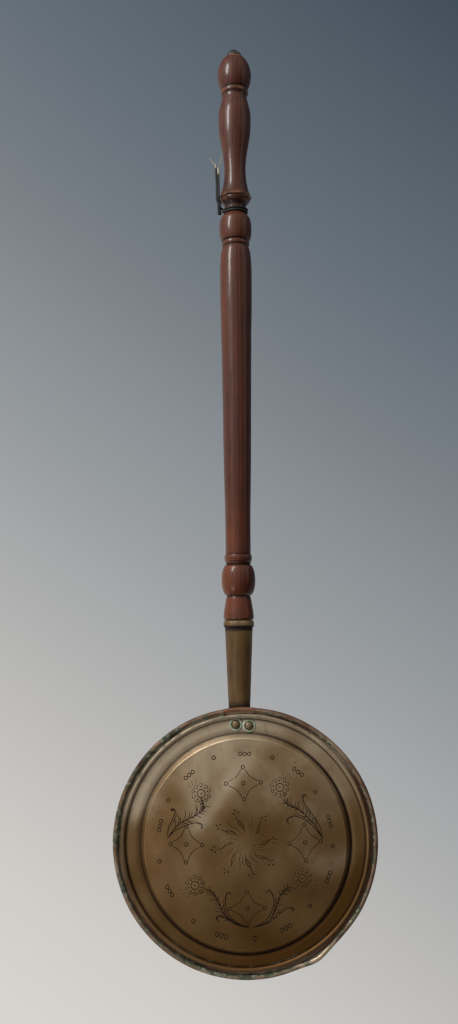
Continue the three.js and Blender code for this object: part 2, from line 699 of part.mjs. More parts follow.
function addTie() {
  const winding = new Winding();
  const stepsPerTurn = 24;
  const steps = Math.round((winding.length / (2 * Math.PI * WINDING_RADIUS)) * stepsPerTurn);
  add(part, "tie_winding", wire(winding, TIE_RADIUS, steps, 6), finishes.plastic);
  console.log(`tie winding: least gap to itself ${windingGap(winding).toFixed(2)} mm`);

  const half = KNOT_HEIGHT / 2;
  const knot = turnedAboutZ(
    [
      point(0, -half),
      point(KNOT_RADIUS * 0.75, -half),
      point(KNOT_RADIUS, -half + 1.5),
      point(KNOT_RADIUS, half - 1.5),
      point(KNOT_RADIUS * 0.95, half),
      point(0, half),
    ],
    SMALL_SEGMENTS,
  );
  const knotAt = new THREE.Vector3(
    -KNOT_OUT * Math.cos(TIE_FACING),
    -KNOT_OUT * Math.sin(TIE_FACING),
    TIE_MIDDLE,
  );
  add(part, "tie_knot", knot.translate(...knotAt), finishes.plastic);

  // The two ends stand up from the knot against the handle, each with a bared tip and a fine strand.
  const top = TIE_MIDDLE + half + CLEARANCE;
  const beside = TIE_RADIUS + CLEARANCE / 2;
  const tails = {
    left: {
      route: [
        [knotAt.x - beside, knotAt.y, top],
        [knotAt.x - beside, knotAt.y, top + 2 * TIE_RADIUS],
        [-22.4, -2.4, top + 7],
        [-22.5, -2.6, 23.6],
        [-22.9, -2.6, 35.5],
        [-23.6, -2.8, 49.3],
      ],
      tip: 5,
      strand: [[-26.6, -3.2, 55.8], [-29.0, -3.6, 59.3], [-31.1, -3.8, 61.3]],
    },
    right: {
      route: [
        [knotAt.x + beside, knotAt.y, top],
        [knotAt.x + beside, knotAt.y, top + 2 * TIE_RADIUS],
        [-20.2, -5.4, top + 6.4],
        [-20.2, -6.3, top + 10],
        [-20.1, -6.2, 21.7],
        [-20.3, -5.6, 30.5],
        [-20.5, -5.2, 40.4],
      ],
      tip: 8.5,
      strand: [[-18.5, -6.4, 54.2], [-16.4, -7.2, 61.1], [-15.0, -7.9, 68.0]],
    },
  };
  const curveOf = (route) => new THREE.CatmullRomCurve3(route.map((p) => new THREE.Vector3(...p)));
  for (const [side, { route, tip, strand }] of Object.entries(tails)) {
    const tail = curveOf(route);
    add(part, `tie_tail_${side}`, wire(tail, TIE_RADIUS, 9), finishes.plastic);
    const way = tail.getTangent(1);
    const onward = (distance) => tail.getPoint(1).addScaledVector(way, distance);
    const bared = new THREE.LineCurve3(onward(CLEARANCE), onward(CLEARANCE + tip));
    add(part, `tie_tip_${side}`, wire(bared, TIP_RADIUS, 2), finishes.strand);
    const fine = curveOf([onward(tip + 2 * CLEARANCE + STRAND_RADIUS).toArray(), ...strand]);
    add(part, `tie_strand_${side}`, wire(fine, STRAND_RADIUS, 8, 5), finishes.strand);
  }
}

addPan();
addLid();
addBracket();
addSocket();
addHandle();
addTie();

export default part;
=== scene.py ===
"""The looks of a bed warming pan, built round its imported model.

A round brass pan with an engraved lid on a strap hinge, a tapering brass socket riveted to the
pan's wall, and a long turned wooden handle that hangs from a wire tied round its neck. The row
frame is in metres: +Z up the handle, +X to the right, -Y towards the viewer. The pieces are made
in millimetres, in the handle's frame or in the pan's own, and are placed in the row frame last.
"""

import json
import logging
import math
from dataclasses import dataclass, field
from enum import Enum
from typing import Callable, Iterable, Optional, Sequence

import bmesh
import bpy
from mathutils import Matrix, Vector, geometry, kdtree, noise


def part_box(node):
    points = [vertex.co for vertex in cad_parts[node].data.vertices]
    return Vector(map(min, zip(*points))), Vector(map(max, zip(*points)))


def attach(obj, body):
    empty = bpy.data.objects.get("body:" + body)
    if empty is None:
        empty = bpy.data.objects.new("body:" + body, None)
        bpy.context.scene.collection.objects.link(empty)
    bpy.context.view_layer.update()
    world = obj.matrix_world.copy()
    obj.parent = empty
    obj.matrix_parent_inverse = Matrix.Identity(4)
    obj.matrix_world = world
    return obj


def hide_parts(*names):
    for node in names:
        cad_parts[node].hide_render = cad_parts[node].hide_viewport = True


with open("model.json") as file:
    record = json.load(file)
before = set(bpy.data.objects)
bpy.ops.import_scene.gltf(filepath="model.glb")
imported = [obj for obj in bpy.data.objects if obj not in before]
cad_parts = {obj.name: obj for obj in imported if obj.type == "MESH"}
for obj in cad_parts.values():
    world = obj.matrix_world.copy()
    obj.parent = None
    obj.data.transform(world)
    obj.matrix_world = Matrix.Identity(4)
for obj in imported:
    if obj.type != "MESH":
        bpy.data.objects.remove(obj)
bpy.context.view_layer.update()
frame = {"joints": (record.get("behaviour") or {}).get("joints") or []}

LOG = logging.getLogger("warming_pan")
MM = 0.001

Outline = list[tuple[float, float]]
Shade = Callable[[Vector], float]


# ------------------------------------------------------------------ small helpers


class Body(Enum):
    """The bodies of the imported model."""

    PAN = "pan_and_handle"
    LID = "lid"


class Side(Enum):
    """Left or right, as a sign along +X."""

    LEFT = -1
    RIGHT = 1


def clamp(value: float, low: float = 0.0, high: float = 1.0) -> float:
    """Keeps a value between two limits."""
    return max(low, min(high, value))


def smooth(value: float, start: float, end: float) -> float:
    """Rises smoothly from 0 at start to 1 at end, and the other way round if end is lower."""
    t = clamp((value - start) / (end - start))
    return t * t * (3 - 2 * t)


def bump(distance: float, width: float) -> float:
    """A bell curve of height 1 with the given width."""
    return math.exp(-0.5 * (distance / width) ** 2)


def angle_between(a: float, b: float) -> float:
    """The angle from b to a in degrees, between -180 and 180."""
    return (a - b + 180) % 360 - 180


def rough(place: Vector, size: float, seed: float = 0.0) -> float:
    """Smooth noise from about -1 to 1, with features of the given size in the place's unit."""
    return noise.noise(Vector(place) / size + Vector((seed, seed * 0.7, -seed)))


def arc(r: float, h: float, radius: float, start: float, end: float, steps: int) -> Outline:
    """Points on a circle in an outline, its angles counted from +r towards +h.

    Args:
        r: The centre's distance from the axis.
        h: The centre's height.
        radius: The circle's radius.
        start: The first angle, in radians.
        end: The last angle, in radians.
        steps: How many stretches there are between the two.

    Returns:
        The points from start to end.
    """
    angles = [start + (end - start) * i / steps for i in range(steps + 1)]
    return [(r + radius * math.cos(a), h + radius * math.sin(a)) for a in angles]


def bead(top: float, bottom: float, foot: float, radius: float, steps: int = 16) -> Outline:
    """A turned bead from one height down to another, standing out from its foot to a radius."""
    middle, half = (top + bottom) / 2, (top - bottom) / 2
    angles = [math.pi * i / steps for i in range(steps + 1)]
    return [(foot + (radius - foot) * math.sin(a), middle + half * math.cos(a)) for a in angles]


def flow(pairs: Sequence[tuple[float, float]], steps: int) -> Outline:
    """A smooth line through a few radii and heights.

    Args:
        pairs: The radius and height of each place that it passes.
        steps: How many stretches it gets in all.

    Returns:
        The points of the line, its two ends included.
    """
    last = len(pairs) - 1
    line = []
    for i in range(steps + 1):
        along = last * i / steps
        k = min(int(along), last - 1)
        t = along - k
        p0, p1, p2, p3 = (pairs[clamp_index(k + j, last)] for j in (-1, 0, 1, 2))
        line.append(tuple(hermite(p0[c], p1[c], p2[c], p3[c], t) for c in (0, 1)))
    return line


def clamp_index(i: int, last: int) -> int:
    """Keeps an index between 0 and the last one."""
    return max(0, min(last, i))


def hermite(p0: float, p1: float, p2: float, p3: float, t: float) -> float:
    """The value at t between p1 and p2 on a curve that passes all four."""
    v0, v1 = (p2 - p0) / 2, (p3 - p1) / 2
    a = 2 * p1 - 2 * p2 + v0 + v1
    b = -3 * p1 + 3 * p2 - 2 * v0 - v1
    return ((a * t + b) * t + v0) * t + p1


def thicken(line: Outline, thickness: float) -> Outline:
    """A sheet's outline: a line, and back along the same line moved square to itself.

    Args:
        line: The sheet's face.
        thickness: How far the other face lies to the line's right.

    Returns:
        The whole outline, face first.
    """
    normals = []
    for (r0, h0), (r1, h1) in zip(line, line[1:]):
        normals.append(Vector((h1 - h0, r0 - r1)).normalized())
    back = []
    for i, (r, h) in enumerate(line):
        before = normals[max(i - 1, 0)]
        after = normals[min(i, len(normals) - 1)]
        n = (before + after).normalized()
        reach = thickness / max(n.dot(after), 0.5)
        back.append((r - n.x * reach, h - n.y * reach))
    return line + back[::-1]


def refined(outline: Outline, longest: float) -> Outline:
    """The same outline with no stretch longer than the given length."""
    line = [outline[0]]
    for (r0, h0), (r1, h1) in zip(outline, outline[1:]):
        parts = max(1, math.ceil(math.hypot(r1 - r0, h1 - h0) / longest))
        line += [(r0 + (r1 - r0) * i / parts, h0 + (h1 - h0) * i / parts) for i in range(1, parts + 1)]
    return line


# ------------------------------------------------------------------ meshes


def spun(outline: Outline, segments: int, about: str = "Z", loop: bool = False) -> bmesh.types.BMesh:
    """Turns an outline about an axis.

    Args:
        outline: Radius and height pairs. The height lies along the axis.
        segments: How many steps a full turn has.
        about: "Z" for the handle, whose heights go up, or "Y" for the pan, whose heights are depths.
        loop: Whether the outline closes on itself.

    Returns:
        The turned mesh, its faces pointing outwards.
    """
    bm = bmesh.new()
    if about == "Z":
        axis, line = Vector((0, 0, 1)), [bm.verts.new((r, 0, h)) for r, h in outline]
    else:
        axis, line = Vector((0, 1, 0)), [bm.verts.new((r, h, 0)) for r, h in outline]
    pairs = list(zip(line, line[1:])) + ([(line[-1], line[0])] if loop else [])
    edges = [bm.edges.new(pair) for pair in pairs]
    bmesh.ops.spin(
        bm,
        geom=line + edges,
        cent=(0, 0, 0),
        axis=axis,
        dvec=(0, 0, 0),
        angle=2 * math.pi,
        steps=segments,
        use_merge=True,
        use_normal_flip=False,
        use_duplicate=False,
    )
    tidy(bm)
    return bm


def tidy(bm: bmesh.types.BMesh, distance: float = 1e-3) -> None:
    """Merges doubles, removes faces with no area and turns the faces outwards."""
    bmesh.ops.remove_doubles(bm, verts=bm.verts, dist=distance)
    bmesh.ops.dissolve_degenerate(bm, dist=distance, edges=bm.edges)
    bmesh.ops.recalc_face_normals(bm, faces=bm.faces)


def joined(meshes: Iterable[bmesh.types.BMesh]) -> bmesh.types.BMesh:
    """Puts several meshes into one and frees them."""
    whole = bmesh.new()
    for bm in meshes:
        part = bpy.data.meshes.new("part")
        bm.to_mesh(part)
        bm.free()
        whole.from_mesh(part)
        bpy.data.meshes.remove(part)
    return whole


def swept(points: Sequence[Vector], radius: float, sides: int = 12, ends: float = 1.0) -> bmesh.types.BMesh:
    """A round wire along points.

    Args:
        points: The wire's centre line.
        radius: The wire's radius.
        sides: How many sides its section has.
        ends: The share of the radius that is left at its two ends.

    Returns:
        The closed tube.
    """
    bm = bmesh.new()
    ahead = (points[1] - points[0]).normalized()
    start = Matrix.Translation(points[0]) @ ahead.to_track_quat("Z", "Y").to_matrix().to_4x4()
    ring = bmesh.ops.create_circle(bm, cap_ends=True, segments=sides, radius=radius * ends, matrix=start)
    face = ring["verts"][0].link_faces[0]
    last = len(points) - 1
    for i in range(1, last + 1):
        onward = (points[min(i + 1, last)] - points[i - 1]).normalized()
        face = extruded(bm, face)
        turn = ahead.rotation_difference(onward).to_matrix()
        size = ends if i == last else 1.0
        before = ends if i == 1 else 1.0
        for v in face.verts:
            v.co = points[i] + turn @ (v.co - points[i - 1]) * (size / before)
        ahead = onward
    tidy(bm, 1e-4)
    return bm


def extruded(bm: bmesh.types.BMesh, face: bmesh.types.BMFace) -> bmesh.types.BMFace:
    """Extrudes one face and returns the new end face."""
    made = bmesh.ops.extrude_face_region(bm, geom=[face])
    bmesh.ops.delete(bm, geom=[face], context="FACES_KEEP_BOUNDARY")
    return next(g for g in made["geom"] if isinstance(g, bmesh.types.BMFace))


def bend(points: Sequence[Sequence[float]], steps: int = 10) -> list[Vector]:
    """A smooth line in space through a few points."""
    last = len(points) - 1
    line = []
    for i in range(last * steps + 1):
        k = min(i // steps, last - 1)
        t = i / steps - k
        four = [points[clamp_index(k + j, last)] for j in (-1, 0, 1, 2)]
        line.append(Vector(tuple(hermite(*(p[c] for p in four), t) for c in range(3))))
    return line


def make_piece(
    name: str,
    bm: bmesh.types.BMesh,
    placing: Matrix,
    body: Body,
    finish: "Finish",
    stands_for: Sequence[str],
    shades: Optional[dict[str, Shade]] = None,
    crease: float = 35.0,
) -> bpy.types.Object:
    """Makes a finished piece of the object out of a mesh in millimetres.

    Args:
        name: The piece's name.
        bm: Its mesh, in its maker's own frame. It is freed.
        placing: From that frame, in millimetres, to the row frame in metres.
        body: The body that it rides on.
        finish: Its finish.
        stands_for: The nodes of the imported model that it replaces.
        shades: Values from 0 to 1 that the finish reads, worked out from each vertex's place.
        crease: Edges sharper than this, in degrees, are drawn sharp.

    Returns:
        The new object.
    """
    for key, shade in (shades or {}).items():
        layer = bm.verts.layers.float.get(key) or bm.verts.layers.float.new(key)
        for v in bm.verts:
            v[layer] = clamp(shade(v.co))
    for f in bm.faces:
        f.smooth = True
    for e in bm.edges:
        if len(e.link_faces) == 2 and e.calc_face_angle(0) > math.radians(crease):
            e.smooth = False
    bm.transform(placing)
    mesh = bpy.data.meshes.new(name)
    bm.to_mesh(mesh)
    bm.free()
    piece = bpy.data.objects.new(name, mesh)
    bpy.context.scene.collection.objects.link(piece)
    mesh.materials.append(finish.material())
    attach(piece, body.value)
    if stands_for:
        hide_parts(*stands_for)
    LOG.info("%s: %d faces, %s", name, len(mesh.polygons), finish.slot)
    return piece


def carve(bm: bmesh.types.BMesh, cutter: bmesh.types.BMesh) -> bmesh.types.BMesh:
    """Cuts one closed mesh out of another and returns what is left. Both are freed."""
    objects = []
    for label, source in (("carved", bm), ("cutter", cutter)):
        mesh = bpy.data.meshes.new(label)
        source.to_mesh(mesh)
        source.free()
        objects.append(bpy.data.objects.new(label, mesh))
        bpy.context.scene.collection.objects.link(objects[-1])
    kept, tool = objects
    modifier = kept.modifiers.new("cut", "BOOLEAN")
    modifier.operation = "DIFFERENCE"
    modifier.solver = "EXACT"
    modifier.object = tool
    shown = kept.evaluated_get(bpy.context.evaluated_depsgraph_get())
    left = bmesh.new()
    left.from_mesh(shown.to_mesh())
    shown.to_mesh_clear()
    for thing in objects:
        mesh = thing.data
        bpy.data.objects.remove(thing)
        bpy.data.meshes.remove(mesh)
    return left


# ------------------------------------------------------------------ finishes


def colour(red: int, green: int, blue: int) -> tuple[float, float, float, float]:
    """A colour as the eye sees it, 0 to 255 a channel, turned into the linear one that shaders take."""
    linear = []
    for channel in (red, green, blue):
        c = channel / 255
        linear.append(c / 12.92 if c <= 0.04045 else ((c + 0.055) / 1.055) ** 2.4)
    return (*linear, 1.0)


class Graph:
    """A material's node graph, built by short calls."""

    def __init__(self, name: str) -> None:
        """Starts an empty material."""
        self.material = bpy.data.materials.new(name)
        self.material.use_nodes = True
        self.tree = self.material.node_tree
        self.tree.nodes.clear()

    @classmethod
    def of_world(cls, world: bpy.types.World) -> "Graph":
        """Starts an empty graph for the room's light instead of a material."""
        graph = cls.__new__(cls)
        graph.tree = world.node_tree
        graph.tree.nodes.clear()
        return graph

    def add(self, kind: str, inputs: Optional[dict] = None, **settings: object) -> bpy.types.Node:
        """Adds a node.

        Args:
            kind: The node's type.
            inputs: Values or sockets for its inputs, by name or number.
            settings: Its own properties.

        Returns:
            The new node.
        """
        node = self.tree.nodes.new(kind)
        for key, value in settings.items():
            setattr(node, key, value)
        for key, value in (inputs or {}).items():
            if isinstance(value, bpy.types.NodeSocket):
                self.tree.links.new(value, node.inputs[key])
            else:
                node.inputs[key].default_value = value
        return node

    def place(self, stretch: tuple[float, float, float] = (1, 1, 1)) -> bpy.types.NodeSocket:
        """The place on the object, each axis stretched."""
        where = self.add("ShaderNodeTexCoord").outputs["Object"]
        return self.add("ShaderNodeMapping", {"Vector": where, "Scale": stretch}).outputs[0]

    def noise(
        self,
        scale: float,
        detail: float = 3.0,
        roughness: float = 0.5,
        place: Optional[bpy.types.NodeSocket] = None,
        twist: float = 0.0,
    ) -> bpy.types.NodeSocket:
        """Noise of the given scale, 0 to 1."""
        settings = {"Scale": scale, "Detail": detail, "Roughness": roughness, "Distortion": twist}
        settings["Vector"] = place or self.place()
        return self.add("ShaderNodeTexNoise", settings).outputs[0]

    def step(self, value: bpy.types.NodeSocket, low: float, high: float) -> bpy.types.NodeSocket:
        """0 below low, 1 above high and smooth between."""
        settings = {"Value": value, "From Min": low, "From Max": high}
        return self.add("ShaderNodeMapRange", settings, interpolation_type="SMOOTHSTEP").outputs[0]

    def math(self, operation: str, a: object, b: object = 0.0) -> bpy.types.NodeSocket:
        """A sum on two values, kept between 0 and 1."""
        return self.add("ShaderNodeMath", {0: a, 1: b}, operation=operation, use_clamp=True).outputs[0]

    def mix(self, share: object, a: object, b: object) -> bpy.types.NodeSocket:
        """Mixes two colours, from a to b."""
        node = self.add("ShaderNodeMix", data_type="RGBA")
        for socket, value in zip((node.inputs[0], node.inputs[6], node.inputs[7]), (share, a, b)):
            if isinstance(value, bpy.types.NodeSocket):
                self.tree.links.new(value, socket)
            else:
                socket.default_value = value
        return node.outputs[2]

    def blend(self, share: object, a: float, b: float) -> bpy.types.NodeSocket:
        """Mixes two numbers, from a to b."""
        settings = {"Value": share, "To Min": a, "To Max": b}
        return self.add("ShaderNodeMapRange", settings).outputs[0]

    def shade(self, name: str) -> bpy.types.NodeSocket:
        """A value that a piece's vertices carry."""
        return self.add("ShaderNodeAttribute", attribute_name=name).outputs["Fac"]

    def finish(self, inputs: dict, height: bpy.types.NodeSocket, relief: float) -> bpy.types.Material:
        """Ends the graph in its shader.

        Args:
            inputs: The shader's inputs.
            height: The relief of the surface, 0 to 1.
            relief: How deep that relief is, in metres.

        Returns:
            The material.
        """
        normal = self.add("ShaderNodeBump", {"Height": height, "Distance": relief, "Strength": 1.0})
        shader = self.add("ShaderNodeBsdfPrincipled", {**inputs, "Normal": normal.outputs[0]})
        self.add("ShaderNodeOutputMaterial", {0: shader.outputs[0]})
        return self.material


@dataclass(frozen=True)
class Finish:
    """A finish that several pieces share: its name and the record's material slot."""

    name: str
    slot: str

    def material(self) -> bpy.types.Material:
        """The finish's material, made once."""
        return bpy.data.materials.get(self.name) or self.build(Graph(self.name))

    def build(self, graph: Graph) -> bpy.types.Material:
        """Builds the material's nodes."""
        raise NotImplementedError


@dataclass(frozen=True)
class TarnishedBrass(Finish):
    """Old sheet brass gone brown, rubbed and green, with dirty hollows and painted light and shade.

    The pieces say where these lie by values on their vertices: dirty places with painted shade,
    rubbing with painted highlights, verdigris, and a paleness that holds tone and, on some pieces,
    painted light.
    """

    bright: tuple = colour(208, 191, 166)
    middle: tuple = colour(143, 115, 79)
    dark: tuple = colour(100, 67, 26)
    soot_and_shade: tuple = colour(34, 19, 8)
    green: tuple = colour(64, 74, 56)
    chalk: tuple = colour(164, 170, 150)
    metal: float = 0.75
    gloss: tuple = (0.42, 0.56)
    scale: float = 1.0

    def build(self, graph: Graph) -> bpy.types.Material:
        """Builds the tarnish from broad, middling and fine patches."""
        broad = graph.noise(14 * self.scale, 3, 0.55, twist=0.6)
        middling = graph.noise(75 * self.scale, 5, 0.62)
        fine = graph.noise(520, 3, 0.6)
        # The paleness carries the tarnish's tone and, on some pieces, painted light and shade.
        pale = graph.math("ADD", graph.shade("pale"), graph.blend(broad, -0.22, 0.22))
        base = graph.mix(graph.step(pale, 0.1, 0.75), self.dark, self.middle)
        base = graph.mix(graph.step(pale, 0.5, 1.0), base, self.bright)
        blotch = graph.math("MULTIPLY", graph.step(middling, 0.5, 0.75), 0.3)
        base = graph.mix(blotch, base, self.dark)
        base = graph.mix(graph.math("MULTIPLY", graph.step(fine, 0.6, 0.8), 0.3), base, self.soot_and_shade)
        # Rubbed brass and painted highlights turn it bright here.
        base = graph.mix(graph.math("MULTIPLY", graph.shade("worn"), 0.7), base, self.bright)
        # Dirty hollows and painted shade in creases, gutters and under beads darken the brass here.
        grime_and_shade = graph.math("MULTIPLY", graph.shade("grime_and_shade"), graph.blend(fine, 1.3, 0.9))
        grime_and_shade = graph.step(grime_and_shade, 0.05, 0.6)
        base = graph.mix(grime_and_shade, base, self.soot_and_shade)
        crust = graph.math("ADD", graph.shade("verdigris"), graph.blend(middling, -0.55, 0.35))
        crust = graph.step(crust, 0.3, 0.62)
        patches = graph.step(graph.noise(160, 4, 0.65), 0.46, 0.72)
        base = graph.mix(crust, base, graph.mix(patches, self.green, self.chalk))
        bare = graph.math("SUBTRACT", 1.0, crust)
        height = graph.math("ADD", graph.math("MULTIPLY", middling, 0.5), graph.math("MULTIPLY", fine, 0.25))
        height = graph.math("ADD", height, graph.math("MULTIPLY", crust, 0.25))
        roughness = graph.math("ADD", graph.blend(middling, *self.gloss), graph.math("MULTIPLY", crust, 0.4))
        roughness = graph.math("ADD", roughness, graph.math("MULTIPLY", grime_and_shade, 0.25))
        inputs = {"Base Color": base, "Metallic": graph.blend(bare, 0.0, self.metal), "Roughness": roughness}
        return graph.finish(inputs, height, 0.00022)


@dataclass(frozen=True)
class TurnedWood(Finish):
    """Polished dark hardwood with open pores, rubbed on its edges, its grooves dirty and in painted shade."""

    red: tuple = colour(88, 42, 26)
    deep: tuple = colour(46, 19, 11)
    tan: tuple = colour(120, 56, 16)
    edge: tuple = colour(150, 108, 70)
    dirt_and_shade: tuple = colour(20, 9, 5)

    def build(self, graph: Graph) -> bpy.types.Material:
        """Builds growth rings cut by the turning, pores, dirty grooves in painted shade and the polish over
        them.
        """
        heart = graph.place((1, 1, 0.12))
        wander = graph.noise(9, 2, 0.5, heart)
        moved = graph.add("ShaderNodeVectorMath", {0: heart, 1: (0.031, 0.022, 0)}, operation="ADD")
        stir = graph.add("ShaderNodeCombineXYZ", {0: graph.blend(wander, -0.006, 0.006), 1: 0.0, 2: 0.0})
        both = {0: moved.outputs[0], 1: stir.outputs[0]}
        stirred = graph.add("ShaderNodeVectorMath", both, operation="ADD")
        split = graph.add("ShaderNodeSeparateXYZ", {0: stirred.outputs[0]})
        flat = graph.add("ShaderNodeCombineXYZ", {0: split.outputs[0], 1: split.outputs[1], 2: 0.0})
        rings = graph.add(
            "ShaderNodeTexWave",
            {"Vector": flat.outputs[0], "Scale": 62.0, "Distortion": 1.6, "Detail": 2.0, "Detail Scale": 2.0},
            wave_type="RINGS",
            rings_direction="Z",
            wave_profile="SAW",
        ).outputs["Fac"]
        fibre = graph.noise(60, 4, 0.6, graph.place((8, 8, 0.35)))
        pores = graph.step(graph.noise(70, 2, 0.5, graph.place((14, 14, 0.5))), 0.62, 0.72)
        mottle = graph.noise(22, 3, 0.5, graph.place((1, 1, 0.4)))
        grain = graph.math("MULTIPLY", graph.step(rings, 0.2, 0.95), 0.55)
        base = graph.mix(grain, self.red, self.deep)
        base = graph.mix(graph.math("MULTIPLY", graph.step(mottle, 0.45, 0.7), 0.4), base, self.deep)
        base = graph.mix(graph.math("MULTIPLY", graph.step(fibre, 0.4, 0.7), 0.55), base, self.deep)
        warm = graph.math("MULTIPLY", graph.shade("warm"), graph.step(mottle, 0.35, 0.65))
        base = graph.mix(graph.math("MULTIPLY", warm, 0.7), base, self.tan)
        base = graph.mix(graph.math("MULTIPLY", pores, 0.7), base, self.dirt_and_shade)
        rubbed = graph.math("MULTIPLY", graph.shade("worn"), graph.step(fibre, 0.3, 0.6))
        base = graph.mix(rubbed, base, self.edge)
        # Dirty grooves and painted shade under the turned parts darken the wood here.
        base = graph.mix(graph.shade("grime_and_shade"), base, self.dirt_and_shade)
        height = graph.math("SUBTRACT", 0.7, graph.math("MULTIPLY", pores, 0.6))
        height = graph.math("ADD", height, graph.math("MULTIPLY", fibre, 0.3))
        inputs = {
            "Base Color": base,
            "Roughness": graph.blend(mottle, 0.44, 0.58),
            "Specular IOR Level": 0.3,
            "Coat Weight": 0.34,
            "Coat Roughness": 0.17,
        }
        return graph.finish(inputs, height, 0.00018)


@dataclass(frozen=True)
class PlainMatter(Finish):
    """A plain matter in two tones: iron, the button's metal, a wire's covering or its bared core."""

    light: tuple = colour(90, 88, 84)
    dark: tuple = colour(46, 44, 42)
    metal: float = 0.0
    gloss: tuple = (0.4, 0.6)
    grain: float = 260.0
    relief: float = 0.0001

    def build(self, graph: Graph) -> bpy.types.Material:
        """Builds patches of the two tones with a fine relief."""
        broad = graph.noise(self.grain * 0.25, 4, 0.6)
        fine = graph.noise(self.grain, 4, 0.65)
        base = graph.mix(graph.step(broad, 0.35, 0.65), self.dark, self.light)
        base = graph.mix(graph.math("MULTIPLY", graph.step(fine, 0.5, 0.8), 0.5), base, self.dark)
        inputs = {"Base Color": base, "Metallic": self.metal, "Roughness": graph.blend(fine, *self.gloss)}
        return graph.finish(inputs, fine, self.relief)


PAN_BRASS = TarnishedBrass("pan brass", "pan_brass", middle=colour(134, 100, 80), dark=colour(98, 64, 46))
LID_BRASS = TarnishedBrass("lid brass", "lid_brass")
STRAP_BRASS = TarnishedBrass("strap brass", "pan_brass", middle=colour(138, 100, 76), dark=colour(98, 64, 42))
RIVET_BRASS = TarnishedBrass(
    "rivet brass",
    "rivet_brass",
    bright=colour(172, 160, 138),
    middle=colour(140, 124, 100),
    green=colour(160, 176, 152),
    chalk=colour(218, 226, 208),
    scale=3.0,
)
SOCKET_BRASS = TarnishedBrass(
    "socket brass",
    "socket_brass",
    bright=colour(150, 136, 104),
    middle=colour(118, 90, 52),
    dark=colour(92, 66, 36),
    metal=0.3,
)
WOOD = TurnedWood("turned wood", "turned_wood")
IRON = PlainMatter("dull iron", "iron", metal=0.7, gloss=(0.5, 0.75))
BUTTON_METAL = PlainMatter("button metal", "button_metal", metal=0.5, gloss=(0.35, 0.55))
COVERING = PlainMatter(
    "wire covering",
    "tie_plastic",
    light=colour(22, 22, 24),
    dark=colour(10, 10, 12),
    gloss=(0.55, 0.7),
)
BARED = PlainMatter(
    "bared core",
    "bared_core",
    light=colour(214, 200, 168),
    dark=colour(150, 122, 88),
    gloss=(0.5, 0.7),
    grain=900.0,
)


# ------------------------------------------------------------------ frames


HANDLE_FRAME = Matrix.Scale(MM, 4)


@dataclass(frozen=True)
class PanFrame:
    """The pan's own frame: its middle on the front of the flange, +Y as the depth, +Z to the hinge."""

    middle: Vector
    skew: float

    @classmethod
    def of_model(cls, depth: float) -> "PanFrame":
        """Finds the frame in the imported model.

        Args:
            depth: The pan's whole depth, in millimetres.

        Returns:
            The frame, its middle in millimetres.
        """
        low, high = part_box("lid_edge_wire")
        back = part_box("pan_body")[1].y / MM
        axis = frame["joints"][0]["axis"]
        middle = Vector(((low.x + high.x) / 2 / MM, back - depth, (low.z + high.z) / 2 / MM))
        return cls(middle, math.atan2(-axis[2], -axis[0]))

    def placing(self) -> Matrix:
        """From the pan's frame in millimetres to the row frame in metres."""
        turn = Matrix.Rotation(-self.skew, 4, "Y")
        return HANDLE_FRAME @ Matrix.Translation(self.middle) @ turn

    def of_handle(self) -> Matrix:
        """From the handle's frame to the pan's, both in millimetres."""
        return (Matrix.Translation(self.middle) @ Matrix.Rotation(-self.skew, 4, "Y")).inverted()


# ------------------------------------------------------------------ pan


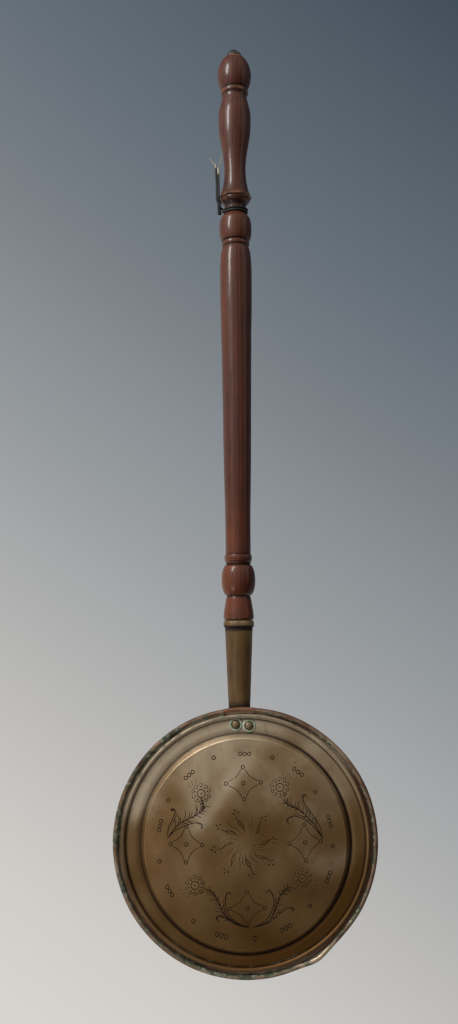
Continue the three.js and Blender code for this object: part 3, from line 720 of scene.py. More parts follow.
@dataclass
class Pan:
    """The round pan with its rolled rim, and the wire in the rim. Sizes in millimetres."""

    radius: float = 150
    depth: float = 72
    sheet: float = 1.0
    flange: float = 14
    lean: float = math.radians(13.5)
    corner: float = 20
    wire: float = 1.5
    clearance: float = 0.3
    slit: float = 0.45
    notch: float = 18.95
    notch_bite: float = 3
    segments: int = 288
    bulge: tuple[float, float, float] = (-60.5, 3.3, 4.4)  # angle in degrees, height, width in degrees
    broken: tuple[float, float] = (-68.0, -50.0)  # the stretch of rim whose lip is broken, in degrees
    chipped: tuple[float, float] = (-113.0, -103.0)
    frame: PanFrame = field(init=False)

    def __post_init__(self) -> None:
        """Finds the pan's frame and works out the sizes that follow."""
        self.frame = PanFrame.of_model(self.depth)
        self.curl = self.wire + self.clearance
        self.rim = self.radius - self.curl - self.sheet
        self.mouth = self.radius - self.flange
        self.hinge = self.rim * math.cos(math.radians(7.5))
        self.placing = self.frame.placing()

    def wall(self, depth: float) -> float:
        """The radius of the wall's outside at a depth."""
        return self.mouth + self.sheet / math.cos(self.lean) - math.tan(self.lean) * depth

    def outline(self) -> Outline:
        """The sheet's outline, from the middle of the inside out over the rim and back."""
        inside = self.depth - self.sheet
        end = inside - self.corner * (1 - math.sin(self.lean))
        middle = self.mouth - math.tan(self.lean) * end - self.corner * math.cos(self.lean)
        lip = math.asin((self.curl - self.slit) / (self.curl + self.sheet))
        line = refined([(0, inside), (middle, inside)], 8)
        line += arc(middle, inside - self.corner, self.corner, math.pi / 2, self.lean, 9)[1:]
        line += refined([line[-1], (self.mouth + 1.2, 5)], 7)[1:]
        line += flow([(self.mouth + 1.2, 5), (self.mouth + 0.6, 1.6), (self.mouth + 2.2, 0)], 6)[1:]
        line += refined([line[-1], (self.rim, 0)], 3)[1:]
        line += arc(self.rim, -self.curl, self.curl, math.pi / 2, lip - math.pi, 18)[1:]
        return thicken(line, self.sheet)

    def battered(self, bm: bmesh.types.BMesh) -> None:
        """Dents the pan as use has: an uneven rim, one corner knocked out and a broken lip."""
        for v in bm.verts:
            r = math.hypot(v.co.x, v.co.z)
            if r < 1:
                continue
            angle = math.degrees(math.atan2(v.co.z, v.co.x))
            out = Vector((v.co.x, 0, v.co.z)) / r
            at_rim = smooth(r, self.mouth - 12, self.rim)
            shift = 0.45 * rough(out * 3, 1.0, 5) + 0.12 * rough(v.co, 14, 2)
            where, height, width = self.bulge
            shift += height * bump(angle_between(angle, where), width)
            shift -= 0.7 * bump(angle_between(angle, where + 15), 6)
            v.co += out * shift * at_rim
            v.co.y += at_rim * 0.35 * rough(out * 4, 1.0, 9)
            inner = smooth(r, self.mouth + 12, self.rim - 2.5) * smooth(-v.co.y, 0.4, 2.2)
            torn = inner * self.damage(angle)
            ragged = (0.9 * rough(v.co, 2.4, 3), 0.7 * rough(v.co, 2.1, 4), 0.9 * rough(v.co, 2.2, 7))
            v.co += torn * Vector(ragged)
            if r < self.mouth - 20:
                v.co.y += self.warp(v.co)

    def warp(self, p: Vector) -> float:
        """How far the bottom lies off its plane at a place."""
        return 0.5 * rough(Vector((p.x, self.depth, p.z)), 45, 1)

    def damage(self, angle: float) -> float:
        """How broken the rim's lip is at an angle, 0 to 1."""
        hurt = 0.0
        for start, end in (self.broken, self.chipped):
            middle, half = (start + end) / 2, (end - start) / 2
            hurt = max(hurt, 1 - smooth(abs(angle_between(angle, middle)), half * 0.8, half * 1.2))
        return hurt

    def shades(self) -> dict[str, Shade]:
        """Where the pan is dirty, rubbed and green, and where painted light and shade lie on its rim."""

        def parts(p: Vector) -> tuple[float, float]:
            return math.hypot(p.x, p.z), math.degrees(math.atan2(p.z, p.x))

        def verdigris(p: Vector) -> float:
            r, angle = parts(p)
            flange = smooth(r, self.mouth - 3, self.mouth + 4) * smooth(p.y, 1.5, -0.2)
            inner = bump(r - self.rim + 2.6, 1.1) * smooth(p.y, 0.4, -1.2)
            low = smooth(-p.z, 122, 147) * 0.18
            left = smooth(-p.x, -20, 120) * 0.06
            patch = 0.36 * rough(Vector((p.x, 0, p.z)), 13, 8)
            left += 0.16 * bump(angle_between(angle, 168), 42) * smooth(r, self.rim - 1, self.rim + 1)
            whole = 0.3 * flange + 0.5 * inner + (low + left + patch) * smooth(r, self.mouth, self.rim - 2)
            return whole + 0.15 * self.damage(angle) * smooth(r, self.rim - 4, self.rim)

        def grime_and_shade(p: Vector) -> float:
            r, angle = parts(p)
            middle = self.depth - self.sheet / 2 + self.warp(p)
            inside = smooth(self.mouth - r, 0, 8) * (1.0 if p.y < middle else 0.2)
            # The gutter on the flange, between the lid's edge and the rim's curl, is dirty and in painted
            # shade.
            gutter = smooth(r, self.mouth - 4, self.mouth + 2) * smooth(r, self.rim - 0.6, self.rim - 2.4)
            stain = 0.3 * smooth(r, self.mouth, self.rim - 2) * rough(Vector((p.x, 0, p.z)), 17, 10)
            left = 0.26 * bump(angle_between(angle, 140), 30) * smooth(r, self.mouth + 4, self.rim - 2)
            return 0.35 * inside + 0.12 * gutter * smooth(p.y, -4.2, -2.2) + stain + left

        def worn(p: Vector) -> float:
            r, angle = parts(p)
            crown = bump(r - self.rim, 1.1) * smooth(p.y, -3.2, -4.4)
            split = self.damage(angle) * smooth(r, self.rim - 3.4, self.rim - 1) * smooth(p.y, -1.5, -3.5)
            low = bump(angle_between(angle, -88), 24) * bump(r - self.rim + 1.6, 0.7)
            low *= smooth(p.y, -2.0, -3.4) * smooth(rough(p, 5, 12), -0.3, 0.3)
            return 0.55 * crown * (0.7 + rough(p, 9, 6)) + 1.3 * split + 0.9 * low

        def pale(p: Vector) -> float:
            r, angle = parts(p)
            flange = smooth(r, self.mouth - 3, self.mouth + 4)
            flange *= smooth(p.y, 1.5, -0.2) * smooth(p.y, -2.5, -0.6)
            # Painted light: the flange is paler up on the left, towards the lamp.
            lit = 0.1 + 0.45 * bump(angle_between(angle, 118), 34)
            return 0.45 + 0.25 * rough(p, 60, 3) + lit * flange

        return {"verdigris": verdigris, "grime_and_shade": grime_and_shade, "worn": worn, "pale": pale}

    def build(self) -> None:
        """Makes the pan's shell and the wire in its rim."""
        shell = spun(self.outline(), self.segments, "Y", loop=False)
        cutter = bmesh.new()
        back = self.sheet + self.clearance + 0.1
        low = self.mouth - self.notch_bite
        size = Vector((2 * self.notch, back + 40, self.radius))
        middle = Vector((0, back - size.y / 2, low + size.z / 2))
        block = Matrix.Translation(middle) @ Matrix.Diagonal((*size, 1))
        bmesh.ops.create_cube(cutter, size=1.0, matrix=block)
        shell = carve(shell, cutter)
        self.battered(shell)
        make_piece("pan_shell", shell, self.placing, Body.PAN, PAN_BRASS, ["pan_body"], self.shades())

        ring = spun(arc(self.rim, -self.curl, self.wire, 0, 2 * math.pi, 12)[:-1], 192, "Y", loop=True)
        for v in ring.verts:
            across = abs(math.atan2(v.co.x, v.co.z))
            if across < math.radians(7.5):
                v.co.z += self.hinge - self.rim * math.cos(across)
        make_piece("rim_wire", ring, self.placing, Body.PAN, IRON, ["pan_rim_wire"])


# ------------------------------------------------------------------ engraving


@dataclass(frozen=True)
class Stroke:
    """One cut of the graver: a line, its width at the middle and how it thins at its ends."""

    points: tuple[Vector, ...]
    width: float
    taper: float = 0.25
    closed: bool = False

    def half(self, i: int) -> float:
        """Half the cut's width at one of its points."""
        if self.closed:
            return self.width / 2
        share = i / (len(self.points) - 1)
        rise = min(share, 1 - share) / max(self.taper, 1e-3)
        return self.width / 2 * min(1.0, 0.25 + 0.75 * rise)


def curve_through(points: Sequence[tuple[float, float]], step: float = 1.3) -> tuple[Vector, ...]:
    """A smooth plane line through points, in stretches of about one step."""
    length = sum(math.dist(a, b) for a, b in zip(points, points[1:]))
    return tuple(Vector(p) for p in flow(points, max(4, math.ceil(length / step))))


@dataclass
class Ornament:
    """The lid's folk ornament: a whirl, four diamonds, four flowers on sprays, and a ring of circles.

    Its sizes are in millimetres, x to the right and z to the hinge, from the ornament's own middle.
    """

    middle: tuple[float, float] = (0.0, -1.9)
    line: float = 1.35
    fine: float = 1.0
    circle: float = 1.95
    strokes: list[Stroke] = field(default_factory=list)
    pits: list[tuple[Vector, float]] = field(default_factory=list)

    def cut(self, points: Sequence[tuple[float, float]], width: float, taper: float = 0.25) -> None:
        """Adds a smooth cut through points."""
        self.strokes.append(Stroke(curve_through(points), width, taper))

    def ring(self, centre: Vector, radius: float, width: float, sides: int = 12) -> None:
        """Adds a round cut."""
        turns = [2 * math.pi * i / sides for i in range(sides)]
        points = tuple(centre + Vector((math.cos(a), math.sin(a))) * radius for a in turns)
        self.strokes.append(Stroke(points, width, closed=True))

    def dot(self, centre: Vector, radius: float = 0.8) -> None:
        """Adds a punched dot."""
        self.pits.append((centre, radius))

    def whirl(self) -> None:
        """The whirl in the middle: eight budding tendrils that turn, and plain ones between them."""
        tips = (4.7, 50.6, 106.2, 146.5, 188, 230.5, 277.8, 320.6)
        lengths = (34.5, 36.5, 38.5, 38.5, 39, 40, 37.7, 37.9)
        full = (0, 2, 3, 6)
        centre = Vector((0.4, 2.6))
        self.dot(centre, 0.9)
        for i, (tip, length) in enumerate(zip(tips, lengths)):
            def at(r: float, turn: float = 0.0, side: float = 0.0, tip: float = tip) -> tuple[float, float]:
                a = math.radians(tip - 14 * (1 - smooth(r, 13, 28)) + turn)
                out, across = Vector((math.cos(a), math.sin(a))), Vector((-math.sin(a), math.cos(a)))
                return tuple(centre + out * r + across * side)

            wave = (0, 0.7, -0.8, -1.1, 0.5, 1.0, 0)
            line = [at(r, 0, w) for r, w in zip((11.5, 15, 19, 23, 27, 31, length), wave)]
            self.cut(line, self.line * 0.9)
            swell = 2.3 if i in full else 1.5
            bud = [at(14.5), at(18, 0, swell * 0.7), at(22.5, 0, swell), at(27.5, 0, 0.6)]
            self.cut(bud, self.fine * 0.9)
            if i in full:
                for r in (18, 21, 24):
                    self.cut([at(r, 0, -0.9), at(r + 1.2, 0, swell * 0.8)], self.fine * 0.7, 0.1)
            self.dot(Vector(at(length)), 1.35)
            for side in (-2.9, 2.9):
                self.dot(Vector(at(length - 3.4, 0, side)), 1.4)
            self.cut([at(r, 24) for r in (9.5, 14, 19, 24, 28 + 3 * (i % 3))], self.fine * 0.85, 0.4)
            if i % 2:
                self.cut([at(r, 34) for r in (12, 17, 22, 25)], self.fine * 0.8, 0.4)

    def diamond(self, angle: float, distance: float, radial: float = 17.6, across: float = 19.6) -> None:
        """A diamond with hollow sides and a small circle at its middle and at each corner.

        Args:
            angle: Where it lies, in degrees from +x.
            distance: From the ornament's middle to its own.
            radial: From its middle to the corners that point in and out.
            across: From its middle to the other two.
        """
        out = Vector((math.cos(math.radians(angle)), math.sin(math.radians(angle))))
        side = Vector((-out.y, out.x))
        centre = out * distance
        arms = (out * radial, side * across, out * -radial, side * -across)
        corners = [centre + arm for arm in arms]
        self.ring(centre, self.circle, self.line)
        for i, corner in enumerate(corners):
            self.ring(corner, self.circle, self.line)
            following = corners[(i + 1) % 4]
            reach = (following - corner).normalized() * (self.circle + 0.9)
            middle = (corner + following) / 2
            hollow = middle + (centre - middle).normalized() * 2.6
            self.cut([tuple(corner + reach), tuple(hollow), tuple(following - reach)], self.fine * 1.15, 0.1)

    def flower(self, x: float, z: float) -> None:
        """A daisy: a ring with a dot in it, dots round it, petals round those, and buds outside."""
        centre = Vector((x, z))
        self.ring(centre, 4.5, self.line, 18)
        self.dot(centre, 1.3)
        count = 10
        for i in range(count):
            a = 2 * math.pi * (i + 0.5) / count
            out, side = Vector((math.cos(a), math.sin(a))), Vector((-math.sin(a), math.cos(a)))
            place = centre + out * 8.3
            self.dot(centre + out * 7.6, 1.4)
            petal = [math.radians(d) for d in (-112, -75, -38, 0, 38, 75, 112)]
            arch = [tuple(place + (out * math.cos(t) + side * math.sin(t)) * 2.5) for t in petal]
            self.cut(arch, self.fine, 0.3)
        away = centre.normalized()
        side = Vector((-away.y, away.x))
        for lean in (-1, 0, 1):
            foot = centre + away * 12.4 + side * lean * 3.6
            tip = foot + away * (3.2 - abs(lean)) + side * lean * 1.2
            self.cut([tuple(foot), tuple((foot + tip) / 2 + side * 0.5), tuple(tip)], self.fine, 0.4)
            self.dot(tip + away * 1.2 + side * lean * 0.6, 0.8)

    def feather(self, stem: Sequence[Vector], first: float, last: float, count: int, lean: float) -> None:
        """Short curved hairs along a stem.

        Args:
            stem: The stem's points.
            first: Where the hairs start, as a share of its length.
            last: Where they end.
            count: How many there are.
            lean: Their length, on the stem's left if above 0.
        """
        for i in range(count):
            share = first + (last - first) * i / max(count - 1, 1)
            k = min(int(share * (len(stem) - 1)), len(stem) - 2)
            foot, way = stem[k], (stem[k + 1] - stem[k]).normalized()
            side = Vector((-way.y, way.x)) * (1 if lean > 0 else -1)
            length = abs(lean) * (1.15 + 0.3 * math.sin(2.4 * i))
            tip = foot + side * length * 0.85 + way * length * 0.75
            knee = foot + side * length * 0.35 + way * length * 0.5
            self.cut([tuple(foot + side * 0.5), tuple(knee), tuple(tip)], self.fine * 1.1, 0.2)

    def spray(
        self,
        stem: Sequence[tuple[float, float]],
        outer: Sequence[tuple[float, float]],
        inner: Sequence[tuple[float, float]],
        hair: float,
    ) -> None:
        """A feathered stem with two scrolled leaves.

        Args:
            stem: From the spray's root to its flower.
            outer: The scroll on the outer side, which ends in a hook.
            inner: The scroll on the inner side.
            hair: The length of its hairs, above 0 if they grow on the stem's left.
        """
        self.cut(stem, self.line * 1.15, 0.12)
        main = curve_through(stem)
        self.feather(main, 0.25, 0.88, 12, hair)
        self.feather(main, 0.4, 0.85, 7, -hair * 0.6)
        for scroll in (outer, inner):
            self.cut(scroll, self.line * 1.1, 0.15)
            line = curve_through(scroll)
            end, before = line[-1], line[-3]
            way = (end - before).normalized()
            side = Vector((-way.y, way.x))
            self.dot(end, 0.9)
            self.lane(line, main)
            for k in (0.7, 0.8, 0.9):
                foot = line[int(k * (len(line) - 1))]
                self.cut([tuple(foot), tuple(foot + way * 1.6 + side * 1.8)], self.fine, 0.3)
                self.cut([tuple(foot), tuple(foot + way * 1.6 - side * 1.8)], self.fine, 0.3)

    def lane(self, line: Sequence[Vector], stem: Sequence[Vector]) -> None:
        """Adds a finer cut beside a leaf's middle stretch, on the side of the stem."""
        inward = stem[len(stem) // 2] - line[len(line) // 2]
        points = []
        for k in range(len(line) // 4, len(line) * 3 // 4, 4):
            along = (line[k + 1] - line[k - 1]).normalized()
            side = Vector((along.y, -along.x))
            points.append(tuple(line[k] + side * math.copysign(2.1, side.dot(inward))))
        if len(points) > 2:
            self.cut(points, self.fine, 0.3)

    def border(self) -> None:
        """Eighteen groups round the edge, by turns three circles in a row and one alone."""
        angles = (88, 70, 51, 34, 13, -3, -23, -45, -66, -87, -108, -128, -152, -172, 165, 148, 127, 108)
        reaches = (100.5, 101, 100, 98, 98, 98, 99, 97.5, 100)
        reaches += (101, 101, 100.5, 98.5, 98.5, 98.5, 100, 100, 102.5)
        for i, (angle, reach) in enumerate(zip(angles, reaches)):
            a = math.radians(angle)
            out, side = Vector((math.cos(a), math.sin(a))), Vector((-math.sin(a), math.cos(a)))
            for k in (-1, 0, 1) if i % 2 == 0 else (0,):
                self.ring(out * reach + side * k * 5.1, self.circle, self.line)

    def spots(self) -> None:
        """Dark specks where the brass has pitted."""
        large = ((13.9, 117.4, 1.4), (-30.2, 107.3, 1.2), (54.5, 100, 1.1), (105.4, 37, 1.3))
        large += ((33.4, -104.6, 1.1),)
        small = ((59.7, 88, 0.8), (-95.7, 45.7, 0.7), (19.9, 86.1, 0.8), (-22.6, -110, 0.7))
        for x, z, radius in large + small:
            if math.hypot(x, z + self.middle[1]) < 106:
                self.dot(Vector((x, z)), radius)

    def compose(self) -> None:
        """Draws the whole ornament."""
        self.whirl()
        for angle, distance in ((89.5, 68.6), (176.5, 66.6), (0.4, 66.8), (268.9, 68.2)):
            self.diamond(angle, distance)
        for x, z in ((-47.4, 59.1), (41.5, 62.0), (-58.6, -40.8), (61.8, -38.5)):
            self.flower(x, z)
        self.spray(
            stem=[(-87.1, 11.3), (-80.3, 20.5), (-70.2, 28.6), (-56, 35), (-46.5, 41), (-43, 47.5)],
            outer=[(-87.1, 11.3), (-86, 22), (-81, 32), (-77.5, 40), (-79.5, 43.5), (-82, 41.5)],
            inner=[(-87.1, 11.3), (-78, 20), (-66, 25), (-55, 27.5), (-48, 25.5), (-49, 21)],
            hair=8.0,
        )
        self.spray(
            stem=[(87.1, 2.6), (82.3, 13.4), (74.2, 24.3), (61.8, 36.6), (50.2, 42.4), (43, 50)],
            outer=[(87.1, 2.6), (84, 18), (75, 33), (68, 44), (67, 52.5), (71.5, 51)],
            inner=[(87.1, 2.6), (80, 14), (69, 24), (57, 30), (48, 27), (49, 22.5)],
            hair=-7.0,
        )
        self.spray(
            stem=[(2, -90.1), (-16.9, -82.8), (-27.2, -72.9), (-33, -60), (-39, -49.3), (-48.4, -43.8)],
            outer=[(2, -90.1), (-12, -86.5), (-22, -80.5), (-31, -75.6), (-36.5, -77), (-33, -81.5)],
            inner=[(2, -90.1), (-13, -83.5), (-22.5, -73), (-25.5, -61), (-23, -50), (-17.5, -51.5)],
            hair=6.5,
        )
        self.spray(
            stem=[(2, -90.1), (21.5, -83.6), (30.7, -69.2), (35.6, -56.8), (42.3, -49.8), (50.5, -45)],
            outer=[(2, -90.1), (22, -85), (34, -76), (43, -70.5), (50.5, -70.5), (48.5, -74.5)],
            inner=[(2, -90.1), (18, -83), (27, -70), (28.5, -58), (24.5, -49.5), (19.5, -53)],
            hair=-6.5,
        )
        self.border()
        self.spots()


# ------------------------------------------------------------------ lid


@dataclass
class Lid:
    """The engraved lid, its wired edge, the strap it hinges on and the strap's rivets."""

    pan: Pan
    radius: float = 141.3
    sheet: float = 1.0
    wire: float = 1.2
    front: float = -1.3
    field_radius: float = 112
    step: float = 8
    step_height: float = 6.5
    dome: float = 6.2
    plate: float = 107.5  # the engraved part of the field
    groove_depth: float = 0.26
    stretch: float = 0.024
    sink: float = 1.0
    reach: float = 1.4
    segments: int = 264
    strap_width: float = 37.7
    strap_end: float = 122.4
    rivets: tuple[tuple[float, float], ...] = ((-5.1, 131.0), (9.9, 129.0))
    rivet_radius: float = 5.0
    ornament: Ornament = field(default_factory=Ornament)

    def face(self, x: float, z: float) -> float:
        """The depth of the field's face, its dents included."""
        r = math.hypot(x, z)
        shape = self.front - self.step_height - self.dome * (1 - (r / self.field_radius) ** 2)
        return shape + self.dents(x, z)

    def dents(self, x: float, z: float) -> float:
        """How far the sheet is knocked in at a place, in millimetres of depth."""
        r = math.hypot(x, z)
        place = Vector((x, z, 0))
        knocks = (
            (-27, 78, 9, 15, 0.5),
            (-36, 42, 8, 16, 0.55),
            (-20, 30, 12, 9, -0.5),
            (20, 18, 10, 9, 0.45),
            (30, -6, 12, 8, -0.5),
            (4, 2, 8, 8, -0.35),
            (-24, -6, 12, 12, 0.4),
            (34, -28, 14, 10, 0.45),
            (-8, -36, 14, 10, -0.35),
            (66, 66, 16, 14, -0.35),
            (-60, -20, 18, 14, 0.3),
            (12, 104, 12, 8, 0.35),
            (-80, 84, 10, 8, 0.3),
        )
        depth = sum(d * bump(x - kx, wx) * bump(z - kz, wz) for kx, kz, wx, wz, d in knocks)
        depth += 0.5 * rough(place, 34, 11) + 0.14 * rough(place, 13, 12)
        return depth * smooth(r, 119, 104)

    def drawn(self, r: float, z: float) -> float:
        """How far the ring round the field and the top of the margin lie off true circles, up the lid."""
        field_ring = (self.stretch * z - self.sink) * smooth(r, 99, 111) * smooth(r, 133, 123)
        return field_ring + self.reach * smooth(r, 126, 134) * smooth(z, 70, 138)

    def border_outline(self) -> Outline:
        """From the field's edge down the step, through the valley, over the margin and the wired edge."""
        base = self.front - self.step_height
        edge = [self.plate + (self.field_radius - self.plate) * i / 6 for i in range(7)]
        line = [(r, base - self.dome * (1 - (r / self.field_radius) ** 2)) for r in edge]
        foot = self.field_radius + self.step
        for i in range(1, 13):
            s = i / 12
            fall = smooth(s, 0.14, 0.95)
            line.append((self.field_radius + self.step * s, base + (self.step_height + 0.8) * fall))
        rise = [(foot, self.front + 0.8), (foot + 1.6, self.front + 0.45), (foot + 4, self.front)]
        line += flow(rise, 6)[1:]
        curl = self.wire + 0.3
        middle = self.radius - curl - self.sheet
        lip = math.asin((curl - 0.45) / (curl + self.sheet))
        line += refined([line[-1], (middle, self.front)], 3.5)[1:]
        line += arc(middle, self.front - curl, curl, math.pi / 2, lip - math.pi, 16)[1:]
        return line

    def back_outline(self, border: Outline) -> Outline:
        """The border's outline with its back, and on to the middle of the lid's back."""
        outline = thicken(border, self.sheet)
        count = 14
        for i in range(1, count + 1):
            r = self.plate * (1 - i / count)
            shape = self.front - self.step_height - self.dome * (1 - (r / self.field_radius) ** 2)
            outline.append((r, shape + self.sheet))
        return outline

    def border_mesh(self) -> bmesh.types.BMesh:
        """The lid outside the engraved plate, and its back."""
        bm = spun(self.back_outline(self.border_outline()), self.segments, "Y")
        for v in bm.verts:
            v.co.y += self.dents(v.co.x, v.co.z)
            r = math.hypot(v.co.x, v.co.z)
            if r > 1:
                ring = bump(r - self.field_radius - self.step / 2, 6)
                out = Vector((v.co.x, 0, v.co.z)) / r
                v.co += out * 0.45 * ring * rough(out * 5, 1.0, 21)
                v.co.z += self.drawn(r, v.co.z)
                v.co.y += 0.25 * rough(out * 6, 1.0, 22) * smooth(r, 112, 124) * smooth(r, 134, 126)
        return bm

    def plate_mesh(self) -> bmesh.types.BMesh:
        """The engraved plate: a net that follows every cut, each cut a V-shaped groove."""
        self.ornament.compose()
        shift = Vector(self.ornament.middle)
        net = GrooveNet(self.groove_depth)
        for stroke in self.ornament.strokes:
            net.add_stroke(stroke, shift)
        for centre, radius in self.ornament.pits:
            net.add_pit(centre + shift, radius)
        net.add_ground(self.plate, self.segments)
        bm = bmesh.new()
        layer = bm.verts.layers.float.new("grime_and_shade")
        points, faces = net.solve()
        verts = []
        for p in points:
            depth = net.depth_at(p)
            height = p.y + self.drawn(p.length, p.y)
            v = bm.verts.new((p.x, self.face(p.x, p.y) + depth, height))
            v[layer] = min(1.0, 1.6 * depth / self.groove_depth)
            verts.append(v)
        for corners in faces:
            bm.faces.new([verts[i] for i in corners])
        for e in bm.edges:
            sides = [sum(v[layer] for v in f.verts) > 0.05 for f in e.link_faces]
            e.smooth = len(set(sides)) < 2
        return bm

    def shades(self) -> dict[str, Shade]:
        """Its rubbing, verdigris, paleness with painted light, and dirty places with painted shade."""

        def verdigris(p: Vector) -> float:
            r = math.hypot(p.x, p.z)
            edge = smooth(r, self.radius - 2.2, self.radius - 0.2) * 0.5
            inside = bump(r - (self.radius - 6.0), 0.9) * smooth(p.y, -1.9, -1.2) * 0.5
            near = min(math.dist((p.x, p.z), place) for place in self.rivets)
            stain = 0.66 * smooth(near, 9.5, 6.0)
            low = 0.15 * smooth(-p.z, 60, 130) * smooth(r, 132, 138)
            return edge + inside + stain + low + 0.24 * rough(p, 12, 31) * smooth(r, 130, 139)

        def worn(p: Vector) -> float:
            r = math.hypot(p.x, p.z)
            return 0.15 * bump(r - (self.radius - 2.5), 0.8) * smooth(p.y, -3.6, -5.0)

        def pale(p: Vector) -> float:
            r = math.hypot(p.x, p.z)
            # Painted light: paler towards the hinge and a little to the right.
            painted_light_slope = 0.55 + (0.14 * p.x + 0.6 * p.z) / 300
            # A painted reflection on the margin up on the left, and painted shade on its lower right.
            sheen = 1.3 * bump(angle_between(math.degrees(math.atan2(p.z, p.x)), 127), 20)
            light = smooth(r, 119, 126) * (sheen - 0.3 * smooth(p.x - p.z, 60, 180))
            # A painted highlight along the crease of a dent.
            crease = 0.2 * bump(p.x + 37 - 0.78 * (p.z - 40), 8) * smooth(p.z, 8, 24) * smooth(p.z, 112, 66)
            hub = 0.1 * bump(math.hypot(p.x - 6, p.z + 4), 14)
            hub -= 0.25 * bump(math.hypot(p.x - 24, p.z - 12), 13)
            hub -= 0.25 * bump(math.hypot(p.x + 12, p.z - 24), 11)
            return painted_light_slope + light + crease + hub + 0.2 * rough(Vector((p.x, 0, p.z)), 38, 32)

        def grime_and_shade(p: Vector) -> float:
            r = math.hypot(p.x, p.z)
            r = math.hypot(p.x, p.z - self.drawn(r, p.z))
            # The valley at the step's foot is dirty and in painted shade, more so towards the lower right.
            low = 0.8 + 0.2 * smooth(p.x - p.z, -150, 60)
            valley = 0.52 * low * bump(r - self.field_radius - self.step + 0.9, 1.5)
            # Painted shade on the bead up on the left, dimming its highlight.
            bead = 0.3 * bump(r - (self.radius - 2.2), 2.0) * smooth(p.z - p.x, -20, 120)
            # A painted shadow line in the crease just inside the bead.
            crease = 0.4 * bump(math.hypot(p.x, p.z - self.drawn(r, p.z)) - (self.radius - 5.6), 0.8)
            crease *= smooth(p.y, -3.0, -1.2)
            return max(valley, crease, bead) if p.y < 2 else 0.4

        return {"verdigris": verdigris, "worn": worn, "pale": pale, "border soil and shade": grime_and_shade}

    def build(self) -> None:
        """Makes the lid, its wire, the strap and the rivets."""
        shades = self.shades()
        border_soil_and_shade = shades.pop("border soil and shade")
        plate, border = self.plate_mesh(), self.border_mesh()
        layer = border.verts.layers.float.new("grime_and_shade")
        for v in border.verts:
            v[layer] = clamp(border_soil_and_shade(v.co))
        whole = joined([plate, border])
        bmesh.ops.remove_doubles(whole, verts=[v for v in whole.verts if v.is_boundary], dist=0.02)
        bmesh.ops.recalc_face_normals(whole, faces=whole.faces)
        make_piece("lid_plate", whole, self.pan.placing, Body.LID, LID_BRASS, ["lid"], shades, crease=50)

        curl = self.wire + 0.3
        middle = self.radius - curl - self.sheet
        ring = arc(middle, self.front - curl, self.wire, 0, 2 * math.pi, 10)[:-1]
        wire = spun(ring, 144, "Y", loop=True)
        make_piece("lid_wire", wire, self.pan.placing, Body.LID, IRON, ["lid_edge_wire"])
        self.build_strap()
        for side, place in zip(Side, self.rivets):
            self.build_rivet(side, place)

    def build_strap(self) -> None:
        """The strap that bends round the rim's wire and lies under the lid's margin."""
        pan = self.pan
        lip = math.asin((pan.curl - pan.slit) / (pan.curl + 1.0))
        line = refined([(self.strap_end, 0), (pan.hinge, 0)], 3)
        line += arc(pan.hinge, -pan.curl, pan.curl, math.pi / 2, lip - math.pi, 18)[1:]
        outline = thicken(line, 1.0)
        bm = bmesh.new()
        half = self.strap_width / 2
        section = bm.faces.new([bm.verts.new((-half, h, r)) for r, h in outline])
        stretches = 14
        for _ in range(stretches):
            section = extruded(bm, section)
            bmesh.ops.translate(bm, verts=section.verts, vec=(self.strap_width / stretches, 0, 0))
        bmesh.ops.triangulate(bm, faces=[f for f in bm.faces if len(f.verts) > 4])
        tidy(bm)
        for v in bm.verts:
            crown = smooth(v.co.z, pan.hinge - 2, pan.hinge + 1) * (1 - (v.co.x / half) ** 2)
            v.co += 0.12 * Vector((0, rough(v.co, 7, 41), rough(v.co, 9, 42)))
            v.co.z += 1.9 * crown

        def worn(p: Vector) -> float:
            # A painted glint along the lower lip of the curl round the rim's wire, broken up by noise.
            line = bump(p.z - 143.5, 0.9) * smooth(abs(p.x), 17.5, 14)
            return 1.4 * line * smooth(rough(p, 5, 43), -0.9, 0.1)

        shades = {
            "verdigris": lambda p: 0.2 * smooth(abs(p.x), 12, 18) + 0.25 * smooth(-p.x, 0, 14) - 0.1,
            "worn": worn,
            # Painted shade where the strap lies under the lid's margin.
            "grime_and_shade": lambda p: 0.7 * smooth(p.z, 139.5, 137),
            "pale": lambda p: 0.4 + 0.15 * smooth(p.x, -8, 10),
        }
        make_piece("hinge_strap_bent", bm, pan.placing, Body.LID, STRAP_BRASS, ["hinge_strap"], shades)

    def build_rivet(self, side: Side, place: tuple[float, float]) -> None:
        """A domed rivet with the green crust that has grown round its head."""
        head = arc(0, 0, 1.0, math.pi / 2, 0, 12)
        radius = self.rivet_radius
        dome = [(radius * r, 0.25 + 3.0 * h) for r, h in head]
        under = [(radius, 0), (2.0, 0), (2.0, -2.7), (2.9, -2.9), (2.4, -4.0), (0, -4.1)]
        rivet = spun(dome + under, 40)
        crust = spun([(radius, -0.2), (5.4, 0.85), (6.1, 1.1), (6.9, 0.75), (7.5, -0.25)], 56, loop=True)
        for v in crust.verts:
            swell = 1 + 0.35 * rough(v.co, 2.2, 51 + side.value)
            v.co.z *= swell
            v.co.x *= 0.96 + 0.06 * swell
        bm = joined([rivet, crust])
        bmesh.ops.rotate(bm, verts=bm.verts, cent=(0, 0, 0), matrix=Matrix.Rotation(math.pi / 2, 3, "X"))
        x, z = place
        bmesh.ops.translate(bm, verts=bm.verts, vec=(x, self.front - 0.1, z))

        def away(p: Vector) -> float:
            return math.dist((p.x, p.z), place)

        shades = {
            "verdigris": lambda p: smooth(away(p), 4.9, 5.3) * 1.4,
            "grime_and_shade": lambda p: 0.4 * bump(away(p) - 4.8, 0.4) * smooth(away(p), 5.2, 4.8),
            "worn": lambda p: 0.4 * smooth(away(p), 3.4, 0.5),
            "pale": lambda p: 0.5,
        }
        name = side.name.lower()
        piece = f"lid_rivet_{name}_domed"
        make_piece(piece, bm, self.pan.placing, Body.LID, RIVET_BRASS, [f"lid_rivet_{name}"], shades)


